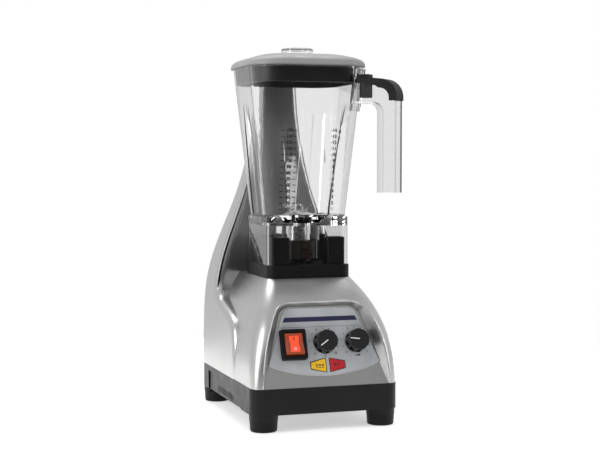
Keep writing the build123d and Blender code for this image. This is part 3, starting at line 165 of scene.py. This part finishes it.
def plastic_look(name, color, roughness, grain=0.00004, pitch=1400, shine=0.5):
    look = Look(name, color, roughness, **{"Specular_IOR_Level": shine})
    look.vary_roughness(look.noise(60), 0.05)
    look.vary_color(look.noise(25), 0.12)
    look.raise_by(look.noise(pitch, detail=2), grain)
    return look.mat


def clear_look(name, tint, shade, painted_edge_shade=0.1, shine=0.3):
    """Clear moulded plastic that lets lamp light through to what stands behind it."""
    look = Look(name, tint, 0.0, IOR=1.49, Transmission_Weight=1.0, Specular_IOR_Level=shine)
    look.raise_by(look.noise(22, detail=2), 0.0004, 0.25)
    # Painted shade: the base colour darkens towards grazing edges, standing in for the dark reflections that
    # outline clear plastic.
    edge = look.node("LayerWeight", Blend=0.5)
    ramp = look.node("ValToRGB")
    for stop, share in zip(ramp.color_ramp.elements, (1.0, painted_edge_shade)):
        stop.color = (*(c * share for c in tint), 1.0)
    ramp.color_ramp.elements[0].position = 0.55
    look.link(edge.outputs["Facing"], ramp.inputs["Fac"])
    look.link(ramp.outputs["Color"], look.bsdf.inputs["Base Color"])
    path = look.node("LightPath")
    through = look.node("BsdfTransparent", Color=(*shade, 1.0))
    mix = look.node("MixShader")
    look.link(path.outputs["Is Shadow Ray"], mix.inputs["Fac"])
    look.link(look.bsdf.outputs["BSDF"], mix.inputs[1])
    look.link(through.outputs["BSDF"], mix.inputs[2])
    look.link(mix.outputs["Shader"], look.tree.nodes["Material Output"].inputs["Surface"])
    return look.mat


def metal_look(name, color, roughness, streak=(1, 1, 1), pitch=500):
    look = Look(name, color, roughness, Metallic=1.0)
    turned = look.noise(pitch, streak, 2)
    look.vary_roughness(turned, 0.06)
    look.vary_color(look.noise(40), 0.06)
    look.raise_by(turned, 0.00003, 0.6)
    return look.mat


def lid_look():
    """Grained rubber, painted pale on the dome as a stand-in for light falling on its top, and dark below the
    brim.
    """
    look = Look("lid_rubber_painted_light", (0.07, 0.07, 0.072), 0.4, **{"Specular_IOR_Level": 0.6})
    height = look.node("SeparateXYZ")
    look.link(look.place(), height.inputs["Vector"])
    ramp = look.node("ValToRGB")
    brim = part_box("lid")[1].z - LID_DOME_RISE
    above = look.spread(height.outputs["Z"], 0, 1, brim - 0.001, brim + 0.004)
    # Painted light: the ramp's pale stop makes the dome above the brim lighter, standing in for light on the lid's
    # top; the rubber itself is dark.
    ramp.color_ramp.elements[0].color = (0.006, 0.006, 0.0065, 1)
    ramp.color_ramp.elements[1].color = (0.34, 0.337, 0.338, 1)
    look.link(above, ramp.inputs["Fac"])
    look.link(ramp.outputs["Color"], look.bsdf.inputs["Base Color"])
    look.vary_roughness(look.noise(50), 0.06)
    look.raise_by(look.noise(900, detail=2), 0.00016)
    return look.mat


def lamination_look():
    look = Look("steel_sheets", (0.2, 0.2, 0.21), 0.45, Metallic=1.0)
    sheets = look.node("TexWave", Scale=320.0, bands_direction="Z")
    look.link(look.place(), sheets.inputs["Vector"])
    look.raise_by(sheets.outputs["Fac"], 0.0002)
    look.vary_color(sheets.outputs["Fac"], 0.2)
    return look.mat


def winding_look():
    look = Look("enamelled_wire", (0.5, 0.17, 0.06), 0.3, Metallic=0.8)
    turns = look.node("TexWave", Scale=260.0, Distortion=1.5)
    look.link(look.place(), turns.inputs["Vector"])
    look.raise_by(turns.outputs["Fac"], 0.0004)
    look.vary_color(turns.outputs["Fac"], 0.25)
    return look.mat


def rocker_look():
    look = Look(
        "amber_plastic",
        (0.36, 0.05, 0.008),
        0.2,
        **{"Subsurface_Weight": 0.3, "Subsurface_Scale": 0.004, "Coat_Weight": 0.4},
    )
    look.set("Emission Color", (1.0, 0.16, 0.02, 1.0))
    look.set("Emission Strength", 0.015)
    look.vary_color(look.noise(180, detail=1), 0.15)
    return look.mat


looks = {
    "silver_shell": silver_look(),
    "black_plastic": plastic_look("black_plastic", (0.005, 0.0048, 0.0052), 0.36, shine=0.22),
    "black_rubber": plastic_look("black_rubber", (0.004, 0.0038, 0.004), 0.45, 0.00008, 900, 0.2),
    "gloss_black": plastic_look("gloss_black", (0.006, 0.006, 0.0065), 0.12, 0.00001),
    "steel": metal_look("turned_steel", (0.6, 0.59, 0.58), 0.25),
    "aluminium": metal_look("cast_aluminium", (0.6, 0.6, 0.61), 0.45, pitch=300),
    "lamination": lamination_look(),
    "copper": winding_look(),
    "carbon": plastic_look("pressed_carbon", (0.03, 0.03, 0.03), 0.5),
    "circuit_board": plastic_look("solder_mask", (0.01, 0.1, 0.04), 0.35),
    "panel_grey": plastic_look("panel_print_grey", (0.44, 0.455, 0.475), 0.4, 0.00001),
    "rocker_orange": rocker_look(),
    "key_yellow": plastic_look("key_yellow", (0.85, 0.50, 0.01), 0.32, 0.00001),
    "key_red": plastic_look("key_red", (0.50, 0.008, 0.016), 0.32, 0.00001),
    "clear_jar": clear_look("clear_plastic", (0.95, 0.951, 0.953), (0.85, 0.85, 0.855), 0.1),
}
node_looks = {
    "lid": lid_look(),
    "jar_handle": clear_look("clear_handle", (0.915, 0.915, 0.917), (0.7, 0.7, 0.7), 0.2),
    "lid_cap": clear_look("clear_cap", (0.95, 0.95, 0.955), (0.9, 0.9, 0.9)),
    "retainer_nut": plastic_look("nut_plastic", (0.02, 0.014, 0.012), 0.3, 0.00002),
    "housing_gasket": plastic_look("gasket", (0.03, 0.02, 0.018), 0.5),
}
for entry in frame["record"]["subparts"]:
    node = nodes[entry["node"]]
    node.data.materials.clear()
    node.data.materials.append(
        node_looks.get(entry["node"], looks[entry["material_slot"]])
    )


# ==== printed marks and small raised marks ============================================


def surface_of(*names):
    """A tree of those nodes' faces, to lay marks on."""
    places, faces = [], []
    for name in names:
        mesh = nodes[name].data
        start = len(places)
        places += [vertex.co.copy() for vertex in mesh.vertices]
        faces += [[start + i for i in face.vertices] for face in mesh.polygons]
    return BVHTree.FromPolygons(places, faces)


def onto(tree, spot, outward, lift):
    """The first point of the surface that is met from outside, lifted off it."""
    reach = 0.06
    found = tree.ray_cast(spot + outward * reach, -outward, 2 * reach)[0]
    return (found if found is not None else spot) + outward * lift


class Marks:
    """Flat marks in mm on a surface's own two axes. They are laid on it as one piece."""

    def __init__(self):
        self.points = []
        self.faces = []

    def shape(self, points):
        start = len(self.points)
        self.points += [tuple(p) for p in points]
        self.faces.append(list(range(start, start + len(points))))

    def strip(self, left, right):
        """A band between two lines with the same number of points."""
        for i in range(len(left) - 1):
            self.shape((left[i], left[i + 1], right[i + 1], right[i]))

    def bar(self, start, end, width):
        a, b = Vector(start), Vector(end)
        side = (b - a).normalized().orthogonal() * width / 2
        self.shape((a + side, b + side, b - side, a - side))

    def arc(self, centre, radius, width, start, end, steps=32):
        turns = [math.radians(start + (end - start) * i / steps) for i in range(steps + 1)]
        inner, outer = (
            [
                (centre[0] + r * math.cos(t), centre[1] + r * math.sin(t))
                for t in turns
            ]
            for r in (radius - width / 2, radius + width / 2)
        )
        self.strip(inner, outer)

    def text(self, words, at, size, bold=0.02):
        letters = bpy.data.curves.new("letters", "FONT")
        letters.body = words
        letters.size = size
        letters.align_x = "CENTER"
        letters.align_y = "CENTER"
        letters.resolution_u = 3
        letters.offset = size * bold
        holder = bpy.data.objects.new("letters", letters)
        bpy.context.scene.collection.objects.link(holder)
        bpy.context.view_layer.update()
        depsgraph = bpy.context.evaluated_depsgraph_get()
        mesh = bpy.data.meshes.new_from_object(holder.evaluated_get(depsgraph))
        start = len(self.points)
        self.points += [(at[0] + v.co.x, at[1] + v.co.y) for v in mesh.vertices]
        self.faces += [[start + i for i in f.vertices] for f in mesh.polygons]
        bpy.data.objects.remove(holder)
        bpy.data.curves.remove(letters)
        bpy.data.meshes.remove(mesh)

    def lay(self, name, place, body, material, thick=0.0):
        """Makes the piece. place turns a flat point into a point on the surface."""
        mesh = bpy.data.meshes.new(name)
        mesh.from_pydata([place(*p) for p in self.points], [], self.faces)
        mesh.materials.append(material)
        piece = bpy.data.objects.new(name, mesh)
        bpy.context.scene.collection.objects.link(piece)
        if thick:
            solid = piece.modifiers.new("thick", "SOLIDIFY")
            solid.thickness = thick
            solid.offset = 1.0
        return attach(piece, body)


def ink(name, color, roughness=0.5, **sockets):
    look = Look(name, color, roughness, **sockets)
    look.vary_color(look.noise(400), 0.06)
    look.vary_roughness(look.noise(300), 0.05)
    return look.mat


dark_ink = ink("dark_ink", (0.025, 0.025, 0.03))
navy_ink = ink("navy_ink", (0.012, 0.014, 0.06), 0.35)
pale_ink = ink("pale_ink", (0.8, 0.8, 0.82))
shade_line_look = ink("painted_shade_line", (0.16, 0.16, 0.18))

panel_face = surface_of("control_panel")
rocker_face = surface_of("rocker")


def on_panel(u, v, tree=panel_face, lift=PRINT_LIFT):
    spot = panel_zero + panel_right * u * MM + panel_up * v * MM
    return onto(tree, spot, panel_out, lift)


# Stripe with slanted ends, and under it a fine grey line that is painted shade.
STRIPE_V, STRIPE_HIGH, STRIPE_HALF = 92.0, 6.4, 50.0
STRIPE_SLANT = 3.2  # how much further the stripe reaches at its lower edge
LINE_V, LINE_HALF, LINE_THICK = 81.5, 57, 0.5
stripe = Marks()
stripe.shape(
    (
        (-STRIPE_HALF - STRIPE_SLANT, STRIPE_V - STRIPE_HIGH / 2),
        (STRIPE_HALF + STRIPE_SLANT, STRIPE_V - STRIPE_HIGH / 2),
        (STRIPE_HALF, STRIPE_V + STRIPE_HIGH / 2),
        (-STRIPE_HALF, STRIPE_V + STRIPE_HIGH / 2),
    )
)
stripe.lay("panel_stripe", on_panel, "base", navy_ink)
# Painted shade: a thin grey line drawn for the dark crease across the panel under the stripe.
line = Marks()
line.bar((-LINE_HALF, LINE_V), (LINE_HALF, LINE_V), LINE_THICK)
line.lay("panel_shade_line", on_panel, "base", shade_line_look)

# Dials: numbers and ticks round each knob, and a plain symbol below it.
dial = Marks()
DIAL_FIRST, DIAL_STEP = 225.0, 27.0  # the first number's place and the turn between two
DIAL_NUMBERS, NUMBER_SIZE = 20.6, 4.2  # distance from the knob's axis, and letter height
TICK_NEAR, TICK_FAR, TICK_THICK = 18.6, 21.2, 0.6
for centre in (TIMER_AT, SPEED_AT):
    for number in range(11):
        turn = math.radians(DIAL_FIRST - number * DIAL_STEP)
        way = Vector((math.cos(turn), math.sin(turn)))
        at = Vector(centre)
        if number % 2 == 0:
            shown = number // 2 if centre == SPEED_AT else number
            dial.text(str(shown), at + way * DIAL_NUMBERS, NUMBER_SIZE)
        else:
            dial.bar(at + way * TICK_NEAR, at + way * TICK_FAR, TICK_THICK)
CLOCK_RADIUS, CLOCK_RIM, HAND_THICK = 1.4, 0.4, 0.35
clock = (TIMER_AT[0], 41.0)
dial.arc(clock, CLOCK_RADIUS, CLOCK_RIM, 0, 360, 20)
dial.bar(clock, (clock[0], clock[1] + 1.0), HAND_THICK)
dial.bar(clock, (clock[0] + 0.8, clock[1]), HAND_THICK)
WEDGE_HALF, WEDGE_DOWN, WEDGE_UP = 4.5, 1.3, 1.5
wedge = (SPEED_AT[0], 40.6)
dial.shape(
    (
        (wedge[0] - WEDGE_HALF, wedge[1] - WEDGE_DOWN),
        (wedge[0] + WEDGE_HALF, wedge[1] - WEDGE_DOWN),
        (wedge[0] + WEDGE_HALF, wedge[1] + WEDGE_UP),
    )
)
dial.lay("panel_dials", on_panel, "base", dark_ink)

# Outlines round the two keys, and a symbol on each.
KEY_GAP, KEY_LONG, KEY_HIGH, KEY_TIP = 6.6, 20.3, 18.0, 8.0
OUTLINE_INNER, OUTLINE_OUTER = 0.35, 1.25  # distances from the key's edge
outline = Marks()
for side in (-1, 1):
    rings = []
    for grow in (OUTLINE_INNER, OUTLINE_OUTER):
        near = KEY_GAP_AT[0] + side * (KEY_GAP / 2 - grow)
        far = KEY_GAP_AT[0] + side * (KEY_GAP / 2 + KEY_LONG + grow)
        tall, short = KEY_HIGH / 2 + grow, KEY_TIP / 2 + grow
        middle = KEY_GAP_AT[1]
        corners = (
            (near, middle - tall),
            (near, middle + tall),
            (far, middle + short),
            (far, middle - short),
        )
        rings.append([*corners, corners[0]])
    outline.strip(*rings)
outline.lay("key_outlines", on_panel, "base", dark_ink)
for key, side in (("manual_key", -1), ("auto_key", 1)):
    face = surface_of(key)
    middle = (KEY_GAP_AT[0] + side * (KEY_GAP / 2 + KEY_LONG * 0.42), KEY_GAP_AT[1])
    symbol = Marks()
    if side < 0:
        for step in (-1, 0, 1):
            symbol.arc((middle[0] + 4.2 * step, middle[1]), 1.0, 1.0, 0, 360, 16)
        symbol.bar((middle[0] - 6, middle[1] - 3.2), (middle[0] + 6, middle[1] - 3.2), 0.7)
    else:
        symbol.shape(
            (
                (middle[0] - 3.2, middle[1] + 2.6),
                (middle[0] - 3.2, middle[1] - 2.6),
                (middle[0] + 1.4, middle[1]),
            )
        )
        symbol.bar((middle[0] + 3.0, middle[1] - 2.6), (middle[0] + 3.0, middle[1] + 2.6), 0.9)
    symbol.lay(
        key + "_symbol",
        lambda u, v, face=face: on_panel(u, v, face),
        key,
        dark_ink,
    )

# White pointer lines on the knobs.
POINTER_REACH, POINTER_BACK, POINTER_THICK = 12.5, 0.5, 1.3
for name, centre in (("timer", TIMER_AT), ("speed", SPEED_AT)):
    face = surface_of(name + "_knob")
    turn = math.radians(POINTER_TURN[name])
    way = Vector((math.cos(turn), math.sin(turn)))
    pointer = Marks()
    pointer.bar(
        Vector(centre) + way * POINTER_REACH,
        Vector(centre) - way * POINTER_BACK,
        POINTER_THICK,
    )
    pointer.lay(
        name + "_pointer",
        lambda u, v, face=face: on_panel(u, v, face, 0.0002),
        name + "_knob",
        pale_ink,
        0.0003,
    )

# The lit lens in the rocker, with its two marks.
lens_look = Look("lit_lens", (0.72, 0.05, 0.015), 0.25, **{"Coat_Weight": 0.5})
lens_look.set("Emission Color", (1.0, 0.09, 0.02, 1.0))
lens_look.set("Emission Strength", 0.42)
lens_look.vary_color(lens_look.noise(300), 0.2)
lens_look.raise_by(lens_look.noise(500, detail=1), 0.0001)
LENS_HALF, LENS_LONG = 6.6, 11.2
WAIST_DEPTH, WAIST_LONG = 0.9, 3.0
lens = Marks()
lens_rows = [-LENS_LONG + 2 * LENS_LONG * i / 12 for i in range(13)]


def lens_half(row):
    """Half the width of the lens, which is waisted where the rocker bends."""
    return LENS_HALF - WAIST_DEPTH * math.exp(-((row / WAIST_LONG) ** 2))


lens.strip(
    [(SWITCH_AT[0] - lens_half(row), SWITCH_AT[1] + row) for row in lens_rows],
    [(SWITCH_AT[0] + lens_half(row), SWITCH_AT[1] + row) for row in lens_rows],
)


def on_rocker(u, v, lift=0.00015):
    return on_panel(u, v, rocker_face, lift)


lens.lay("rocker_lens", on_rocker, "rocker", lens_look.mat)
marks = Marks()
marks.bar((SWITCH_AT[0], SWITCH_AT[1] + 5.0), (SWITCH_AT[0], SWITCH_AT[1] + 9.5), 1.3)
marks.lay("rocker_on_mark", lambda u, v: on_rocker(u, v, 0.0003), "rocker", dark_ink)
ring = Marks()
ring.arc((SWITCH_AT[0], SWITCH_AT[1] - 7.0), 1.7, 0.7, 0, 360, 24)
ring.lay("rocker_off_mark", lambda u, v: on_rocker(u, v, 0.0003), "rocker", pale_ink)

# A polished lip round the hollow for the controls, and a fine one round the grey plate.
housing_face = surface_of("housing")
LOOK_FROM = (0.0, 48.0)  # a point of the panel inside both outlines
WALL_RISE = 0.0012  # in metres: a rise that is surely the hollow's wall
SKIN_FALL = 0.0004  # in metres: a fall that is surely the skin beyond its edge
LIP_RADIUS, EDGE_RADIUS = 0.0009, 0.0005


def panel_depth(tree, u, v):
    """How far the surface stands out from the panel's plane there, or None."""
    spot = on_panel(u, v, tree, 0.0)
    missed = (spot - (panel_zero + panel_right * u * MM + panel_up * v * MM)).length
    return (spot - panel_zero).dot(panel_out) if missed > 1e-7 else None


def ridge(turn, near=34.0, far=150.0, step=0.5):
    """Where the hollow's wall meets the housing's skin, seen from the middle."""
    way = (math.cos(turn), math.sin(turn))
    best, best_depth, wall_met = None, -1.0, False
    reach = near
    while reach < far:
        u, v = LOOK_FROM[0] + reach * way[0], LOOK_FROM[1] + reach * way[1]
        depth = panel_depth(housing_face, u, v)
        if depth is not None and depth > best_depth + 1e-6:
            best, best_depth = (u, v), depth
            wall_met = wall_met or depth > WALL_RISE
        elif wall_met and depth is not None and depth < best_depth - SKIN_FALL:
            break
        reach += step
    return best if wall_met else None


def plate_edge(turn, near=20.0, far=120.0, step=0.25):
    """The last point of the grey plate in that direction."""
    way = (math.cos(turn), math.sin(turn))
    best, reach = None, near
    while reach < far:
        u, v = LOOK_FROM[0] + reach * way[0], LOOK_FROM[1] + reach * way[1]
        if panel_depth(panel_face, u, v) is not None:
            best = (u, v)
        reach += step
    return best


def bead(name, places, radius, body, material, closed):
    curve = bpy.data.curves.new(name, "CURVE")
    curve.dimensions = "3D"
    curve.bevel_depth = radius
    curve.bevel_resolution = 3
    spline = curve.splines.new("POLY")
    spline.points.add(len(places) - 1)
    for point, place in zip(spline.points, places):
        point.co = (*place, 1.0)
    spline.use_cyclic_u = closed
    curve.materials.append(material)
    piece = bpy.data.objects.new(name, curve)
    bpy.context.scene.collection.objects.link(piece)
    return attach(piece, body)


def eased(places, rounds=3):
    """The same points, each drawn towards the middle of its neighbours."""
    for _ in range(rounds):
        places = (
            places[:1]
            + [
                (places[i - 1] + 2 * places[i] + places[i + 1]) / 4
                for i in range(1, len(places) - 1)
            ]
            + places[-1:]
        )
    return places


polished = metal_look("polished_lip", (0.75, 0.75, 0.76), 0.14)
lip = [ridge(math.radians(turn)) for turn in range(-34, 215, 2)]
lip_places = eased([on_panel(u, v, housing_face, 0.0) for u, v in filter(None, lip)])
bead("recess_lip", lip_places, LIP_RADIUS, "base", polished, False)
rim = [plate_edge(math.radians(turn)) for turn in range(0, 360, 3)]
rim_places = [on_panel(u, v, panel_face, 0.0) for u, v in filter(None, rim)]
bead("panel_edge", rim_places, EDGE_RADIUS, "base", polished, True)

# Measuring marks on the jar, at both sides of the hollow in its front.
jar_face = surface_of("jar_shell")
jar_front = Vector((0, -1, 0))
JAR_REACH = 0.07  # about how far the jar's front is from the drive axis


def on_jar(x, z):
    spot = drive_axis + Vector((x * MM, -JAR_REACH, z * MM))
    return onto(jar_face, spot, jar_front, PRINT_LIFT)


MARK_LOW, MARK_STEP, MARK_COUNT = 292.0, 8.3, 14
AMOUNT_X, CUP_X = -33.5, 31  # the two columns of numbers
scale = Marks()
for count in range(MARK_COUNT):
    z = MARK_LOW + count * MARK_STEP
    amount = 10 * (count + 2)
    scale.bar((-45, z), (-40, z), 0.9)
    scale.text(str(amount), (AMOUNT_X, z), 6.2, 0.05)
    scale.bar((-27.5, z), (-23.5, z), 1.2)
    scale.text(str(count + 1), (CUP_X, z), 6.0, 0.05)
    scale.bar((26.5, z), (28, z), 0.8)
scale.lay("jar_scale", on_jar, "jar", dark_ink)


# ==== stage ============================================================================


def disc(name, radius, height, material, steps=96):
    turns = [2 * math.pi * i / steps for i in range(steps)]
    mesh = bpy.data.meshes.new(name)
    mesh.from_pydata(
        [
            drive_axis + Vector((radius * math.cos(t), radius * math.sin(t), height))
            for t in turns
        ],
        [],
        [list(range(steps))],
    )
    mesh.materials.append(material)
    made = bpy.data.objects.new(name, mesh)
    bpy.context.scene.collection.objects.link(made)
    return made


FLOOR_RADIUS, FLOOR_HEIGHT = 0.85, -0.0004
floor_look = Look("pale_floor", (0.92, 0.92, 0.92), 0.9)
floor_look.set("Specular IOR Level", 0.0)
floor_look.set("Emission Color", (1, 1, 1, 1))
floor_look.set("Emission Strength", 0.5)
floor_look.vary_roughness(floor_look.noise(4), 0.03)
disc("floor", FLOOR_RADIUS, FLOOR_HEIGHT, floor_look.mat)


def softbox(name, place, aim, size, power):
    lamp = bpy.data.lights.new(name, "AREA")
    lamp.shape = "RECTANGLE"
    lamp.size, lamp.size_y = size
    lamp.energy = power
    made = bpy.data.objects.new(name, lamp)
    made.location = drive_axis + Vector(place)
    made.rotation_euler = (Vector(aim) - Vector(place)).to_track_quat("-Z", "Y").to_euler()
    bpy.context.scene.collection.objects.link(made)


DARK_SIDE, BACK_SIDE, CEILING = 0.03, 0.75, 0.62  # brightness of what metal reflects
SOFT_FILL = 0.55  # brightness of the dome that lights matt surfaces
middle = (0, 0, 0.25)
# The left box stands where the flat side of the handle doesn't mirror it.
softbox("left_box", (-1.95, -0.58, 0.9), middle, (0.35, 1.5), 16)
softbox("right_box", (1.7, -0.6, 0.8), middle, (0.25, 1.3), 5)
softbox("top_box", (0, 0.9, 1.9), middle, (1.6, 1.0), 12)

# Seen directly or through clear plastic the studio is white. What shines in the metal is
# bright behind and above the object and dark in front of it, as in a real studio.
world = bpy.data.worlds.new("studio")
bpy.context.scene.world = world
world.use_nodes = True
tree = world.node_tree


def world_node(kind, **values):
    made = tree.nodes.new("ShaderNode" + kind)
    for key, value in values.items():
        if key in made.inputs:
            made.inputs[key].default_value = value
        else:
            setattr(made, key, value)
    return made


def world_grade(source, start, end, low, high):
    made = world_node(
        "MapRange",
        **{"From Min": start, "From Max": end, "To Min": low, "To Max": high},
    )
    tree.links.new(source, made.inputs["Value"])
    return made.outputs["Result"]


mirrored = tree.nodes["Background"]
mirrored.inputs["Color"].default_value = (1, 1, 1, 1)
seen = world_node("Background", Color=(1, 1, 1, 1))
path = world_node("LightPath")
tree.links.new(
    world_grade(path.outputs["Is Diffuse Ray"], 0, 1, 1.0, SOFT_FILL),
    seen.inputs["Strength"],
)
split = world_node("SeparateXYZ")
tree.links.new(world_node("TexCoord").outputs["Generated"], split.inputs["Vector"])
behind = world_grade(split.outputs["Y"], -0.6, 0.35, DARK_SIDE, BACK_SIDE)
above = world_grade(split.outputs["Z"], 0.12, 0.7, DARK_SIDE, CEILING)
brightest = world_node("Math", operation="MAXIMUM")
tree.links.new(behind, brightest.inputs[0])
tree.links.new(above, brightest.inputs[1])
tree.links.new(brightest.outputs["Value"], mirrored.inputs["Strength"])
shines = world_node("Math", operation="GREATER_THAN")
shines.inputs[1].default_value = 0.5
tree.links.new(path.outputs["Glossy Depth"], shines.inputs[0])
mix = world_node("MixShader")
tree.links.new(shines.outputs["Value"], mix.inputs["Fac"])
tree.links.new(seen.outputs["Background"], mix.inputs[1])
tree.links.new(mirrored.outputs["Background"], mix.inputs[2])
tree.links.new(mix.outputs["Shader"], tree.nodes["World Output"].inputs["Surface"])

# ==== camera ===========================================================================
CAMERA_TURN = math.radians(18)  # to the left of the object's front
CAMERA_PITCH = math.radians(2.6)
CAMERA_BACK = 1.880
CAMERA_HEIGHT = 0.353
CAMERA_ASIDE = 0.004
CAMERA_LENS = 79.6
camera_data = bpy.data.cameras.new("camera")
camera_data.lens = CAMERA_LENS
camera = bpy.data.objects.new("camera", camera_data)
ahead = Vector((math.sin(CAMERA_TURN), math.cos(CAMERA_TURN), 0))
aside = Vector((math.cos(CAMERA_TURN), -math.sin(CAMERA_TURN), 0))
camera.location = (
    drive_axis + aside * CAMERA_ASIDE - ahead * CAMERA_BACK + Vector((0, 0, CAMERA_HEIGHT))
)
camera.rotation_euler = (math.pi / 2 - CAMERA_PITCH, 0, -CAMERA_TURN)
bpy.context.scene.collection.objects.link(camera)
bpy.context.scene.camera = camera
bpy.context.scene.view_settings.view_transform = "Standard"
